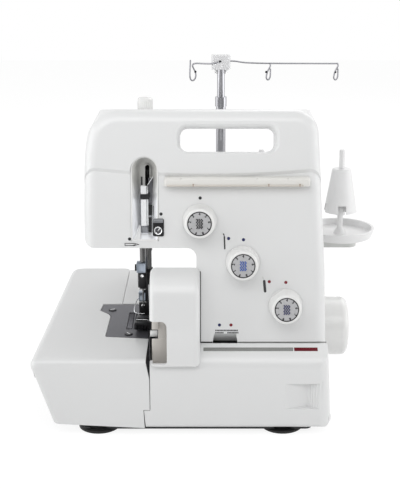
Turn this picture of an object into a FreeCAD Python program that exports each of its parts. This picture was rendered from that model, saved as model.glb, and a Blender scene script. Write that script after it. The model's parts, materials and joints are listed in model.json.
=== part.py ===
import FreeCAD
import Part
import math
import os

# Overlock sewing machine, in millimetres.
# Working frame: X to the right, Y back from the front edge of the cloth plate, Z up from the floor.
# At the end every piece is moved so that the origin lies under the centre of the whole box.

Vec = FreeCAD.Vector
RIGHT = Vec(1, 0, 0)
BACK = Vec(0, 1, 0)
UP = Vec(0, 0, 1)
FAR = 400.0

# Fits
RUN = 0.05
SEAT = 0.02
COVER_GAP = 0.6
WALL = 2.6

# Base and bed
TRAY_LOW = 8.0
TRAY_TOP = 11.0
TRAY_LEFT = -130.0
TRAY_RIGHT = 104.0
TRAY_FRONT = 17.0
TRAY_REAR = 259.0
FOOT_X = (-103.0, 67.0)
FOOT_Y = (26.0, 235.0)
FOOT_RADIUS = 18.0
FOOT_NECK = 12.5
APRON_LEFT = -121.0
APRON_RIGHT = 94.0
APRON_FRONT = 9.0
APRON_LOW = 3.0
APRON_THICK = 2.0
BED_TOP = 75.0
BED_REAR = 263.0
DECK_RIGHT = 100.0
DECK_SEAM_X = -89.5

# Cloth plate and needle plate
PLATE_LEFT = -165.2
PLATE_LEFT_LOW = -144.2
PLATE_RIGHT = -57.9
PLATE_LOW = 8.0
PLATE_LOW_LEFT = 12.5
PLATE_SKEW = 7.0
PLATE_WALL_LOW = 13.0
PLATE_INNER_CORNER = 5.0
PLATE_FRONT_RIGHT = -54.8
PLATE_EASE_HIGH = 72.0
PLATE_EASE_LOW = 56.0
PLATE_JOG_X = -60.6
PLATE_JOG_FOOT = -59.2
PLATE_JOG_Z = 26.0
PLATE_PIVOT = (-97.0, 256.0)
PIVOT_RADIUS = 2.5
NEEDLE_PLATE_THICK = 1.6
NEEDLE_PLATE_CORNERS = [
    (-58.4, 52.2, 0),
    (-98.8, 57.2, 2.5),
    (-98.3, 110.8, 2.5),
    (-100.5, 116.7, 2.5),
    (-110.2, 127.3, 2.5),
    (-108.5, 144.4, 2),
    (-58.4, 144.4, 0),
]
PLATE_SCREWS = [(-98.3, 128.8), (-77.5, 63.5)]

# Casing: outline from the front, then the lean of the front facet
HEAD_LEFT = -113.8
HEAD_LOW = 170.0
HEAD_CORNER = 9.0
COLUMN_LEFT = -12.3
COLUMN_FOOT_RIGHT = 107.5
CASING_TOP = 291.0
TOP_BEND_Y = 58.0
TOP_BEND_Z = 291.7
TOP_FALL = 0.1833
CASING_REAR = 196.0
THROAT_RADIUS = 8.5
FACET_LEAN = math.radians(8.2)
FACET_FOOT_Y = 21.0
FACET_FOOT_Z = 84.0
FACET_STEP = 2.4
EDGE_RADIUS = 11.0
REAR_RADIUS = 12.0
CREASE_MIDDLE = 237.2
CREASE_LEFT = 247.6
CREASE_RIGHT = 248.2
CREASE_SLOPE = 1.8
CASING_SPLIT_Y = 112.0
CASING_SEAM = 0.4
NOTCH_LEFT = 2.0
NOTCH_RIGHT = 25.5
NOTCH_TOP = 92.0
NOTCH_TAPER = 1.8
NOTCH_BACK = 31.5
NOTCH_WALL = 1.4

# Carrying handle
HANDLE_LEFT = -27.0
HANDLE_RIGHT = 58.0
HANDLE_LOW = 256.0
HANDLE_HIGH = 277.0
HANDLE_FACE_Y = 45.0
HANDLE_FALL = 0.2153
HANDLE_CORNER = 7.0
MOUTH_RADIUS = 6.5
MOUTH_SIDE = 0.6
MOUTH_UNDER = 0.3
MOUTH_STEPS = (0.0, 0.1, 0.35, 0.7)
SCOOP_FRONT = 72.0
SCOOP_SIDE = 7.0
SCOOP_FLOOR_FRONT = 246.0
SCOOP_FLOOR_REAR = 221.0

# Dials on the front facet: place along X, height of the axis at the facet
DIALS = {
    "needle_tension_dial": (-9.2, 194.4),
    "upper_looper_dial": (29.4, 157.1),
    "lower_looper_dial": (68.4, 118.0),
}
DIAL_RADIUS = 15.4
DIAL_FACE_RADIUS = 13.2
DIAL_LABEL_RADIUS = 10.9
DIAL_HEIGHT = 20.0
TENSION_SHAFT = 3.5

# Needle and presser
NEEDLE_X = -65.0
NEEDLE_Y = 95.0
NEEDLE_BAR = 2.5
PRESSER_X = -60.5
PRESSER_Y = 106.5
PRESSER_BAR = 3.75
NEEDLE_BAR_LENGTH = 144.0
BAR_LOW = 120.0
CLAMP_LOW = 112.0
CLAMP_SPLIT = 127.0
CLAMP_TOP = 137.0
NEEDLE_LOW = 90.0
NEEDLE_SHANK = 1.0
PRESSER_LOW = 106.0
PRESSER_TOP = 252.0
SHANK_TOP = 127.0
LOWER_BRACKET = (174.0, 186.0)
UPPER_BRACKET = (236.0, 248.0)

# Cast frame inside
FRAME_LEFT = -97.0
FRAME_RIGHT = 98.0
FRAME_FRONT = 60.0
FRAME_REAR = 190.0
FRAME_FLOOR = 18.0
FRAME_ROOM = 18.6
NEEDLE_BUSH = 4.5
PRESSER_BUSH = 6.0
KNOB_STEM = 4.9
PLATE_SCREW = 1.6

# Drive
SHAFT_Y = 120.0
SHAFT_Z = 62.0
SHAFT_RADIUS = 6.0
BUSH_RADIUS = 9.0
MOTOR_Y = 128.0
MOTOR_Z = 150.0
MOTOR_RADIUS = 28.0
DRIVE_PULLEY = 31.0
MOTOR_PULLEY = 9.0
FLANGE = 3.0
BELT_X = (67.0, 77.0)
BELT_THICK = 3.0
BELT_GAP = 0.3
WHEEL_RADIUS = 29.0
WHEEL_LEFT = 110.0
WHEEL_RIGHT = 136.7

# Looper cover
COVER_LEFT = -54.2
COVER_RIGHT = 107.0
COVER_FLARE = 0.06
COVER_CORNER = 13.0
COVER_FOOT_CORNER = 8.0
COVER_TOP_Y = 20.0
COVER_TOP_Z = 83.4
COVER_LOW = 8.0
COVER_WALL = 2.4
HOOD_LEFT = -54.0
HOOD_RIGHT = -9.0
WINDOW_RIGHT = -38.5
WINDOW_LOW = 72.5
WINDOW_TOP = 112.0
GRIP_LEFT = 68.5
GRIP_DEEP = (89.5, 5.2)
GRIP_RIGHT = 100.5
GRIP_LOW = 27.0
GRIP_HIGH = 52.0
GRIP_RIBS = 5
GRIP_RIB_RADIUS = 0.6
HINGE_Y = 8.0
HINGE_Z = 15.0
HINGE_ROD = 2.5
HINGE_LUG = 4.5

# Spool stand and thread pole
STAND_Y = 235.0
STAND_LOW = 111.5
STAND_TOP = 123.0
SPOOL_X = {"cone_holder_left": -31.0, "cone_holder_middle": 55.0, "cone_holder_right": 141.0}
TRAY_DISC = 37.2
TRAY_FLOOR = 2.4
PIN_RADIUS = 3.0
PIN_TOP = 217.5
CONE_LOW = 150.0
CONE_HEIGHT = 47.0
CONE_CORE = 5.2
SLOT_HALF = 4.2
SLOT_HEIGHT = 9.0
POLE_X = 11.4
POLE_OUTER = 5.15
POLE_INNER = 4.0
POLE_JOINT_Z = 274.0
GUIDE_Z = 309.0
WIRE_RADIUS = 1.2
HOOK_X = (-17.0, 61.0, 133.0)


def box(x_low, x_high, y_low, y_high, z_low, z_high):
    return Part.makeBox(x_high - x_low, y_high - y_low, z_high - z_low, Vec(x_low, y_low, z_low))


def rod(start, direction, radius, length):
    return Part.makeCylinder(radius, length, Vec(*start), direction)


def ring(start, direction, outer, inner, length):
    return rod(start, direction, outer, length).cut(rod(start, direction, inner, length))


def join(shapes):
    first = shapes[0]
    return first.fuse(shapes[1:]).removeSplitter()


def on_front(y):
    return lambda a, b: Vec(a, y, b)


def on_side(x):
    return lambda a, b: Vec(x, a, b)


def on_plan(z):
    return lambda a, b: Vec(a, b, z)


def corner_arc(before, here, after, radius):
    towards_before = (before - here).normalize()
    towards_after = (after - here).normalize()
    half = towards_before.getAngle(towards_after) / 2
    reach = radius / math.tan(half)
    middle = (towards_before + towards_after).normalize() * (radius / math.sin(half) - radius)
    return [here + towards_before * reach, here + middle, here + towards_after * reach]


def rounded_face(corners, place):
    """A flat face through (a, b, radius) corners, put in space by place(a, b)."""
    flat = [Vec(a, b, 0) for a, b, radius in corners]
    runs = []
    for index, (a, b, radius) in enumerate(corners):
        after = flat[(index + 1) % len(flat)]
        if radius:
            runs.append(corner_arc(flat[index - 1], flat[index], after, radius))
        else:
            runs.append([flat[index]])
    placed = [[place(point.x, point.y) for point in run] for run in runs]
    edges = []
    for index, run in enumerate(placed):
        following = placed[(index + 1) % len(placed)][0]
        if len(run) == 3:
            edges.append(Part.Arc(*run).toShape())
        if run[-1].distanceToPoint(following) > 1e-6:
            edges.append(Part.makeLine(run[-1], following))
    return Part.Face(Part.Wire(edges))


def prism(corners, place, sweep):
    return rounded_face(corners, place).extrude(sweep)


def plain(points):
    return [(a, b, 0) for a, b in points]


def edges_where(shape, test):
    chosen = []
    for edge in shape.Edges:
        middle = edge.valueAt((edge.FirstParameter + edge.LastParameter) / 2)
        ends = [edge.valueAt(edge.FirstParameter), edge.valueAt(edge.LastParameter), middle]
        if all(test(point) for point in ends):
            chosen.append(edge)
    return chosen


# The front facet and the direction that points straight out of it

LEAN = math.tan(FACET_LEAN)
OUTWARD = Vec(0, -math.cos(FACET_LEAN), math.sin(FACET_LEAN))


def facet_y(z):
    return FACET_FOOT_Y + (z - FACET_FOOT_Z) * LEAN


def ahead_of_facet(offset):
    """Everything in front of the facet plane moved back by offset."""
    low = facet_y(0) + offset
    high = facet_y(FAR) + offset
    corners = plain([(low, 0), (high, FAR), (-FAR, FAR), (-FAR, 0)])
    return prism(corners, on_side(-FAR), RIGHT * (2 * FAR))


CASING_OUTLINE = [
    (HEAD_LEFT, HEAD_LOW, 0),
    (COLUMN_LEFT, HEAD_LOW, THROAT_RADIUS),
    (COLUMN_LEFT, TRAY_TOP, 0),
    (COLUMN_FOOT_RIGHT, TRAY_TOP, 0),
    (104.6, 150.0, 200),
    (96.0, CASING_TOP, 22),
    (-106.3, CASING_TOP, 30),
    (-112.1, 251.0, 60),
    (HEAD_LEFT, 205.0, 60),
]


def casing_block(inset, proud):
    """The outline swept back, cut to the leaning facet, with its front and rear edges rounded."""
    face = rounded_face(CASING_OUTLINE, on_front(-20))
    if inset:
        face = face.makeOffset2D(-inset)
    block = face.extrude(BACK * (CASING_REAR + 20 - inset))
    offset = inset - proud
    block = block.cut(ahead_of_facet(offset))

    def on_rounded_side(point):
        in_throat = point.z < HEAD_LOW + inset + 2 and point.x < 60
        return point.z > TRAY_TOP + inset - 0.1 and not in_throat

    def front_edge(point):
        return abs(point.y - facet_y(point.z) - offset) < 0.01

    def rear_edge(point):
        return abs(point.y - CASING_REAR + inset) < 0.01

    def rounded(edge):
        middle = edge.valueAt((edge.FirstParameter + edge.LastParameter) / 2)
        return on_rounded_side(middle) and middle.z > TRAY_TOP + inset + 1

    front = [edge for edge in edges_where(block, front_edge) if rounded(edge)]
    block = block.makeFillet(EDGE_RADIUS - inset, front)
    rear = [edge for edge in edges_where(block, rear_edge) if rounded(edge)]
    return block.makeFillet(REAR_RADIUS - inset, rear)


def top_profile(inset):
    """Side view of the room under the sloping top, rounded where it turns down to the back."""
    start = -20.0
    front_rise = 4.8
    rear = CASING_REAR - inset
    rear_z = TOP_BEND_Z - TOP_FALL * (rear - TOP_BEND_Y)
    corners = [
        (start, 0, 0),
        (start, TOP_BEND_Z + front_rise - inset, 0),
        (TOP_BEND_Y, TOP_BEND_Z - inset, 0),
        (rear, rear_z - inset, REAR_RADIUS - inset),
        (rear, 0, 0),
    ]
    return prism(corners, on_side(-FAR), RIGHT * (2 * FAR))


def above_crease():
    """The room above the crease; its underside falls to the back, so that the step is a soft one."""
    lead = 10.0
    depth = 60.0
    reach = 130.0
    rise = lead * CREASE_SLOPE
    front = facet_y(CREASE_MIDDLE) - FACET_STEP - lead
    roof = CASING_TOP + depth * CREASE_SLOPE + 20
    left = Vec(-reach, front, CREASE_LEFT + rise)
    middle = Vec(-13, front, CREASE_MIDDLE + rise)
    right = Vec(reach, front, CREASE_RIGHT + rise)
    roof_right = Vec(reach, front, roof)
    roof_left = Vec(-reach, front, roof)
    edges = [
        Part.Arc(left, middle, right).toShape(),
        Part.makeLine(right, roof_right),
        Part.makeLine(roof_right, roof_left),
        Part.makeLine(roof_left, left),
    ]
    return Part.Face(Part.Wire(edges)).extrude(Vec(0, depth, -depth * CREASE_SLOPE))


def head_corner(inset):
    """The space outside the rounded lower left corner of the head."""
    left = HEAD_LEFT + inset
    low = HEAD_LOW + inset
    reach = HEAD_CORNER - inset
    margin = 20.0
    corners = [
        (left - margin, low - margin, 0),
        (left + reach, low - margin, 0),
        (left + reach, low, 0),
        (left, low, reach - 0.1),
        (left, low + reach, 0),
        (left - margin, low + reach, 0),
    ]
    return prism(corners, on_front(-margin), BACK * FAR)


def casing_outside():
    raised = casing_block(0, FACET_STEP).common(above_crease())
    body = casing_block(0, 0).fuse(raised).common(top_profile(0))
    foot_room = box(-FAR, FAR, -FAR, FACET_FOOT_Y + 1.2, 0, FACET_FOOT_Z - 0.4)
    return body.cut(foot_room).cut(head_corner(0)).removeSplitter()


def handle_hole(grow):
    """The finger opening, falling to the back along the view from above."""
    rise = (HANDLE_FACE_Y + 20) * HANDLE_FALL
    low = HANDLE_LOW + rise - grow
    high = HANDLE_HIGH + rise + grow
    left = HANDLE_LEFT - grow
    right = HANDLE_RIGHT + grow
    radius = HANDLE_CORNER + grow
    corners = [(left, low, radius), (right, low, radius), (right, high, radius), (left, high, radius)]
    return prism(corners, on_front(-20), Vec(0, 160, -160 * HANDLE_FALL))


def handle_scoop(grow):
    """The hollow behind the handle bar, open to the top and the back."""
    corners = [
        (SCOOP_FRONT - grow, 320, 0),
        (SCOOP_FRONT - grow, SCOOP_FLOOR_FRONT - grow, 10),
        (FAR, SCOOP_FLOOR_REAR - 40 - grow, 0),
        (FAR, 320, 0),
    ]
    left = HANDLE_LEFT - SCOOP_SIDE - grow
    right = HANDLE_RIGHT + SCOOP_SIDE + grow
    return prism(corners, on_side(left), RIGHT * (right - left))


CHANNEL_LEFT = -71.0
CHANNEL_RIGHT = -46.0
CHANNEL_LOW = 176.3
CHANNEL_TOP = 252.0
CHANNEL_BACK = 64.0


def channel_space(inset, back):
    radius = (CHANNEL_RIGHT - CHANNEL_LEFT) / 2 - inset
    corners = [
        (CHANNEL_LEFT + inset, CHANNEL_LOW + inset, 0),
        (CHANNEL_RIGHT - inset, CHANNEL_LOW + inset, 0),
        (CHANNEL_RIGHT - inset, CHANNEL_TOP - inset, radius - 0.01),
        (CHANNEL_LEFT + inset, CHANNEL_TOP - inset, radius - 0.01),
    ]
    return prism(corners, on_front(-20), BACK * (20 + back))


# Controls on the right side: place along Y and height
STITCH_DIAL = (165.0, 140.0)
LEVER = (168.0, 100.0)
POWER_BOX = (160.0, 186.0, 28.0, 70.0)
SWITCH_PIVOT_X = 104.5
SWITCH_PIN = 1.5
SWITCH_PIN_RANGE = (51.0, 67.0)


def casing_shell(outside):
    inside = casing_block(WALL, 0).common(top_profile(WALL)).cut(head_corner(WALL))
    inside = inside.cut(box(-FAR, FAR, -FAR, FACET_FOOT_Y + 1.2 + WALL, 0, FACET_FOOT_Z - 0.4 + WALL))
    inside = inside.cut(handle_scoop(WALL))
    handle_zone = box(HANDLE_LEFT - 10, HANDLE_RIGHT + 10, -20, SCOOP_FRONT + 2, 243, 320)
    inside = inside.cut(handle_zone)
    floor_room = box(COLUMN_LEFT + WALL, COLUMN_FOOT_RIGHT - 2 * WALL,
                     FACET_FOOT_Y + 4, CASING_REAR - WALL, 0, 40)
    shell = outside.cut(inside).cut(floor_room)
    cutters = [
        handle_hole(0),
        handle_mouth(),
        handle_scoop(0),
        channel_space(0, CHANNEL_BACK),
        box(COLUMN_LEFT + WALL + 1, 99, 0, 45, 0, FACET_FOOT_Z - 2.6),
        box(COLUMN_LEFT - 5, COLUMN_LEFT + 6, 15, 140, 0, FACET_FOOT_Z - 2.6),
        box(COLUMN_LEFT - 5, COLUMN_LEFT + 6, 100, FRAME_REAR + 1, 0, FRAME_ROOM),
        box(-78, -46, 80, 160, HEAD_LOW - 6, HEAD_LOW + 4),
        rod((PRESSER_X, PRESSER_Y, 262), UP, 8.2, 40),
        rod((95, SHAFT_Y, SHAFT_Z), RIGHT, 9.0, 20),
        rod((90, STITCH_DIAL[0], STITCH_DIAL[1]), RIGHT, 4.3, 30),
        rod((90, LEVER[0], LEVER[1]), RIGHT, 3.8, 30),
        box(95, 115, POWER_BOX[0] - 0.2, POWER_BOX[1] + 0.2, POWER_BOX[2] - 0.2, POWER_BOX[3] + 0.2),
    ]
    for place in DIALS.values():
        base = Vec(place[0], facet_y(place[1]), place[1])
        cutters.append(Part.makeCylinder(TENSION_SHAFT + 0.4, 30, base - OUTWARD * 15, OUTWARD))
    vent_pitch = 9.0
    for count in range(6):
        z = 150.0 + count * vent_pitch
        cutters.append(box(40, 88, CASING_REAR - 10, CASING_REAR + 5, z, z + 3.4))
    for cutter in cutters:
        shell = shell.cut(cutter)
    return shell


def notch_space():
    """The tapered mouth at the foot of the facet, deeper towards its open lower end."""
    low = FACET_FOOT_Z - 2.6
    mouth = prism(plain([(NOTCH_LEFT, 0), (NOTCH_LEFT, low), (NOTCH_LEFT + NOTCH_TAPER, NOTCH_TOP),
                         (NOTCH_RIGHT - NOTCH_TAPER, NOTCH_TOP), (NOTCH_RIGHT, low), (NOTCH_RIGHT, 0)]),
                  on_front(-20), BACK * 60)
    side_view = plain([(-20, NOTCH_TOP), (facet_y(NOTCH_TOP), NOTCH_TOP), (NOTCH_BACK, low), (NOTCH_BACK, 0),
                       (-20, 0)])
    slope = prism(side_view, on_side(NOTCH_LEFT - 1), RIGHT * (NOTCH_RIGHT - NOTCH_LEFT + 2))
    return mouth.common(slope)


def notch_lining():
    low = FACET_FOOT_Z - 2.6
    back = NOTCH_BACK + NOTCH_WALL
    top = NOTCH_TOP + 2 * NOTCH_WALL
    profile = plain([(facet_y(low) + WALL, low), (facet_y(top) + WALL / 2, top), (back, low + NOTCH_WALL),
                     (back, low)])
    width = NOTCH_RIGHT - NOTCH_LEFT + 2 * NOTCH_WALL
    return prism(profile, on_side(NOTCH_LEFT - NOTCH_WALL), RIGHT * width)


def mouth_outline(depth, grow):
    """The finger opening, wider by grow, in a plane at some depth behind the raised facet."""
    lean = Vec(0, math.sin(FACET_LEAN), math.cos(FACET_LEAN))
    start = Vec(0, facet_y(0) - FACET_STEP, 0) + Vec(0, 1, -HANDLE_FALL) * depth
    low = HANDLE_LOW / math.cos(FACET_LEAN) - MOUTH_UNDER * grow
    high = HANDLE_HIGH / math.cos(FACET_LEAN) + grow
    left = HANDLE_LEFT - MOUTH_SIDE * grow
    right = HANDLE_RIGHT + MOUTH_SIDE * grow
    radius = HANDLE_CORNER + MOUTH_SIDE * grow
    corners = [(left, low, radius), (right, low, radius), (right, high, radius), (left, high, radius)]
    return rounded_face(corners, lambda a, b: start + RIGHT * a + lean * b).OuterWire


def handle_mouth():
    """The rounding of the opening's front edge, largest above it, in a few flat steps."""
    radius = MOUTH_RADIUS
    outlines = [mouth_outline(-2 * radius, radius)]
    for share in MOUTH_STEPS:
        grow = radius - math.sqrt(radius ** 2 - (radius * (1 - share)) ** 2)
        outlines.append(mouth_outline(share * radius, grow))
    outlines.append(mouth_outline(1.2 * radius, -1))
    return Part.makeLoft(outlines, True, True)


def casings():
    outside = casing_outside()
    shell = casing_shell(outside).fuse(notch_lining()).cut(notch_space())
    front = shell.common(box(-FAR, FAR, -FAR, CASING_SPLIT_Y, 0, FAR))
    rear = shell.common(box(-FAR, FAR, CASING_SPLIT_Y + CASING_SEAM, FAR, 0, FAR))
    return outside, front, rear


def base_tray():
    corners = [(TRAY_LEFT, TRAY_FRONT, 8), (TRAY_RIGHT, TRAY_FRONT, 8), (TRAY_RIGHT, TRAY_REAR, 8),
               (TRAY_LEFT, TRAY_REAR, 8)]
    tray = prism(corners, on_plan(TRAY_LOW), UP * (TRAY_TOP - TRAY_LOW))
    pieces = [tray]
    for x in (-40.0, 20.0, 80.0):
        pieces.append(rod((x, HINGE_Y, HINGE_Z), RIGHT, HINGE_LUG, 6))
        pieces.append(box(x, x + 6, HINGE_Y, 21, TRAY_TOP - 1, HINGE_Z))
    whole = join(pieces + [front_apron()])
    return whole.cut(rod((-FAR, HINGE_Y, HINGE_Z), RIGHT, HINGE_ROD + RUN, 2 * FAR))


def front_apron():
    """The low lip that runs under the front edge, with room round the two front feet."""
    wall_rear = TRAY_FRONT + 2.4
    corners = [
        (APRON_LEFT, APRON_FRONT, 6),
        (APRON_RIGHT, APRON_FRONT, 6),
        (APRON_RIGHT, wall_rear, 0),
        (APRON_LEFT, wall_rear, 0),
    ]
    lip = prism(corners, on_plan(APRON_LOW), UP * APRON_THICK)
    wall = box(APRON_LEFT, APRON_RIGHT, TRAY_FRONT, wall_rear, APRON_LOW, TRAY_LOW + 0.5)
    apron = lip.fuse(wall)
    for x in FOOT_X:
        apron = apron.cut(rod((x, FOOT_Y[0], 0), UP, FOOT_RADIUS + 0.6, TRAY_LOW))
    return apron


def rubber_feet():
    feet = []
    for x in FOOT_X:
        for y in FOOT_Y:
            cone = Part.makeCone(FOOT_RADIUS, FOOT_NECK, TRAY_LOW, Vec(x, y, 0))
            feet.append(cone.makeFillet(2.0, edges_where(cone, lambda point: point.z < 0.01)))
    return Part.makeCompound(feet)


def cloth_plate():
    block_right = PLATE_RIGHT + 80
    inner_left = PLATE_LEFT + WALL + 2
    sweep = Vec(PLATE_SKEW, BED_REAR, 0)

    def profile(foot_radius):
        return [(PLATE_LEFT, BED_TOP, 7), (block_right, BED_TOP, 0), (block_right, PLATE_LOW, 0),
                (PLATE_RIGHT, PLATE_LOW, 0), (PLATE_LEFT_LOW, PLATE_LOW_LEFT, foot_radius)]

    inner_profile = [(inner_left, BED_TOP - WALL, PLATE_INNER_CORNER), (60, BED_TOP - WALL, 0),
                     (60, -20, 0), (PLATE_LEFT_LOW - 5, -20, 0)]
    inner_plan = [(inner_left, 0, 0), (60, 0, 0), (60, BED_REAR - WALL, 0),
                  (inner_left + PLATE_SKEW, BED_REAR - WALL, 18)]
    gap = COVER_GAP
    notch = NEEDLE_PLATE_CORNERS
    corners = [
        (PLATE_LEFT, 0, 0),
        (PLATE_FRONT_RIGHT, 0, 0),
        (PLATE_FRONT_RIGHT, WALL, 0),
        (PLATE_RIGHT, WALL, 0),
        (PLATE_RIGHT, notch[0][1] - gap, 0),
        (notch[1][0] - gap, notch[1][1] - gap, 3),
        (notch[2][0] - gap, notch[2][1], 3),
        (notch[3][0] - gap, notch[3][1], 2),
        (notch[4][0] - gap, notch[4][1], 2),
        (notch[5][0] - gap, 147, 0),
        (DECK_SEAM_X - gap, 147, 0),
        (DECK_SEAM_X - gap, BED_REAR, 6.5),
        (PLATE_LEFT + PLATE_SKEW, BED_REAR, 20),
    ]
    outside = prism(profile(0), on_front(0), sweep)
    top_front = edges_where(outside, lambda point: point.y < 0.01 and point.z > BED_TOP - 0.01)
    outside = outside.makeFillet(6.5, top_front)
    outside = outside.common(prism(profile(6), on_front(0), sweep))
    outside = outside.common(prism(corners, on_plan(0), UP * 100))
    inside = prism(inner_profile, on_front(WALL), sweep * ((BED_REAR - 2 * WALL) / BED_REAR))
    inside = inside.common(prism(inner_plan, on_plan(-20), UP * 120))
    shell = outside.cut(inside).cut(box(-FAR, FAR, 8, FAR, 0, PLATE_WALL_LOW))
    jog = plain([(PLATE_JOG_X, PLATE_JOG_Z), (PLATE_JOG_FOOT, 0), (FAR, 0), (FAR, PLATE_JOG_Z)])
    shell = shell.cut(prism(jog, on_front(-1), BACK * FAR))
    ease = plain([
        (PLATE_RIGHT, BED_TOP + 1),
        (PLATE_RIGHT, PLATE_EASE_HIGH),
        (PLATE_FRONT_RIGHT, PLATE_EASE_LOW),
        (FAR, PLATE_EASE_LOW),
        (FAR, BED_TOP + 1),
    ])
    shell = shell.cut(prism(ease, on_front(-1), BACK * (WALL + 1)))
    lugs = []
    for low, high in ((18.0, 26.0), (62.0, BED_TOP - WALL)):
        lugs.append(rod((PLATE_PIVOT[0], PLATE_PIVOT[1], low), UP, PIVOT_RADIUS + 3, high - low))
    bore = rod((PLATE_PIVOT[0], PLATE_PIVOT[1], 0), UP, PIVOT_RADIUS + RUN, BED_TOP - WALL - 0.8)
    return join([shell] + lugs).cut(bore)


def plate_pivot():
    length = BED_TOP - WALL - 1.6 - TRAY_TOP
    return rod((PLATE_PIVOT[0], PLATE_PIVOT[1], TRAY_TOP), UP, PIVOT_RADIUS, length)


def bed_cover():
    corners = [
        (DECK_SEAM_X, 147.6, 0),
        (PLATE_RIGHT + 1, 147.6, 0),
        (PLATE_RIGHT + 1, 110, 0),
        (COLUMN_LEFT - 0.4, 110, 0),
        (COLUMN_LEFT - 0.4, CASING_REAR + 0.4, 0),
        (DECK_RIGHT, CASING_REAR + 0.4, 0),
        (DECK_RIGHT, BED_REAR - 1, 14),
        (DECK_SEAM_X, BED_REAR - 1, 0),
    ]
    outside = prism(corners, on_plan(TRAY_TOP), UP * (BED_TOP - TRAY_TOP))
    rear_top = edges_where(outside, lambda point: point.z > BED_TOP - 0.01 and point.y > BED_REAR - 1.1)
    outside = outside.makeFillet(5.0, rear_top)
    inside = box(DECK_SEAM_X + WALL, DECK_RIGHT - WALL, 80, BED_REAR - 1 - WALL, 0, BED_TOP - WALL)
    shell = outside.cut(inside)
    return shell.cut(box(-FAR, FAR, 100, FRAME_REAR + 1, 0, FRAME_ROOM))


def needle_plate():
    low = BED_TOP - NEEDLE_PLATE_THICK
    plate = prism(NEEDLE_PLATE_CORNERS, on_plan(low), UP * NEEDLE_PLATE_THICK)
    for left, right in FEED_ROWS:
        plate = plate.cut(box(left - 0.7, right + 0.7, FEED_Y[0] - 4, FEED_Y[1] + 4, 0, 100))
    plate = plate.cut(box(NEEDLE_X - 1.4, NEEDLE_X + 1.4, NEEDLE_Y - 3, NEEDLE_Y + 3, 0, 100))
    for x, y in PLATE_SCREWS:
        plate = plate.cut(rod((x, y, 0), UP, PLATE_SCREW + 0.1, 100))
    return plate


FEED_ROWS = [(-80.0, -75.5), (-73.0, -68.5)]
FEED_Y = (80.0, 118.0)


def feed_dogs():
    carrier = box(-81, -68, 72, 128, 58, 66)
    pieces = [carrier]
    tooth_pitch = 2.0
    for left, right in FEED_ROWS:
        pieces.append(box(left, right, FEED_Y[0], FEED_Y[1], 66, 74.2))
        teeth = int((FEED_Y[1] - FEED_Y[0]) / tooth_pitch)
        for count in range(teeth):
            y = FEED_Y[0] + count * tooth_pitch
            pieces.append(prism(plain([(y, 74.2), (y + tooth_pitch, 74.2), (y + tooth_pitch * 0.7, 75.7)]),
                                on_side(left), RIGHT * (right - left)))
    return join(pieces)


LOWER_LOOPER = (-32.0, 32.0)
UPPER_LOOPER = (-8.0, 44.0)
LOWER_LOOPER_Y = (90.0, 97.0)
UPPER_LOOPER_Y = (83.0, 88.0)
KNIFE_GUIDE = (-46.0, 66.0)
KNIFE_KNOB = (47.0, 83.5)
KNIFE_KNOB_RADIUS = 3.2
STUD = 3.0
LIFTER_PIVOT = (136.0, 176.0)
TAKE_UP_PIVOT = (84.0, 229.0)
TAKE_UP_STUD = 2.5


def base_casting():
    """The floor of the frame, the posts under the needle plate and the two bearings of the shaft."""
    post_top = BED_TOP - NEEDLE_PLATE_THICK
    bearing_front = SHAFT_Y - 16
    bearing_rear = SHAFT_Y + 16
    floor = box(FRAME_LEFT, FRAME_RIGHT, FRAME_FRONT, FRAME_REAR, TRAY_TOP, FRAME_FLOOR)
    left_post = box(FRAME_LEFT, -88.5, 62, 140, FRAME_FLOOR, post_top)
    screw_post = box(-104, -88.5, 122, 136, FRAME_FLOOR, post_top)
    front_post = box(-84, -70, FRAME_FRONT, 69, FRAME_FLOOR, post_top)
    left_bearing = box(-64, -50, bearing_front, bearing_rear, FRAME_FLOOR, SHAFT_Z + 10)
    right_bearing = box(86, FRAME_RIGHT, bearing_front, bearing_rear, FRAME_FLOOR, SHAFT_Z + 14)
    return [floor, left_post, screw_post, front_post, left_bearing, right_bearing]


def arm_casting():
    """The column, the arm out to the head and the brackets that guide the two bars."""
    lower_low, lower_high = LOWER_BRACKET
    upper_low, upper_high = UPPER_BRACKET
    arm_front = 150.0
    arm_rear = 188.0
    arm_top = 212.0
    bracket_left = -80.0
    bracket_right = -46.0
    bracket_front = 84.0
    column_left = -8.5
    column = box(column_left, 40, 164, arm_rear, FRAME_FLOOR, arm_top)
    arm = box(-106, column_left, arm_front, arm_rear, lower_low, arm_top)
    head = box(-106, -42, arm_front, arm_rear, arm_top, upper_high)
    lower_bracket = box(bracket_left, bracket_right, bracket_front, 122, lower_low, lower_high)
    lower_bridge = box(bracket_left, -70, 122, arm_front, lower_low, lower_high)
    upper_bracket = box(bracket_left, bracket_right, bracket_front, arm_front, upper_low, upper_high)
    lever_lug = box(-53.5, -48, 80, 92, 224, upper_low)
    knob_socket = rod((PRESSER_X, PRESSER_Y, upper_high), UP, 8, 24)
    return [column, arm, head, lower_bracket, lower_bridge, upper_bracket, lever_lug, knob_socket]


def frame_studs():
    """The fixed studs that the loopers, the knife, the lifter and the take-up lever run on."""
    stud_plate = box(-45, 2, 100, 106, FRAME_FLOOR, 56)
    lower_stud = rod((LOWER_LOOPER[0], 89, LOWER_LOOPER[1]), BACK, STUD, 12)
    upper_stud = rod((UPPER_LOOPER[0], 82, UPPER_LOOPER[1]), BACK, STUD, 19)
    knife_guide = rod((KNIFE_GUIDE[0], KNIFE_GUIDE[1], FRAME_FLOOR), UP, STUD, 52)
    lifter_stud = rod((-70, LIFTER_PIVOT[0], LIFTER_PIVOT[1]), RIGHT, STUD, 17)
    lever_stud = rod((-58.5, TAKE_UP_PIVOT[0], TAKE_UP_PIVOT[1]), RIGHT, TAKE_UP_STUD, 5.5)
    return [stud_plate, lower_stud, upper_stud, knife_guide, lifter_stud, lever_stud]


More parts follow.
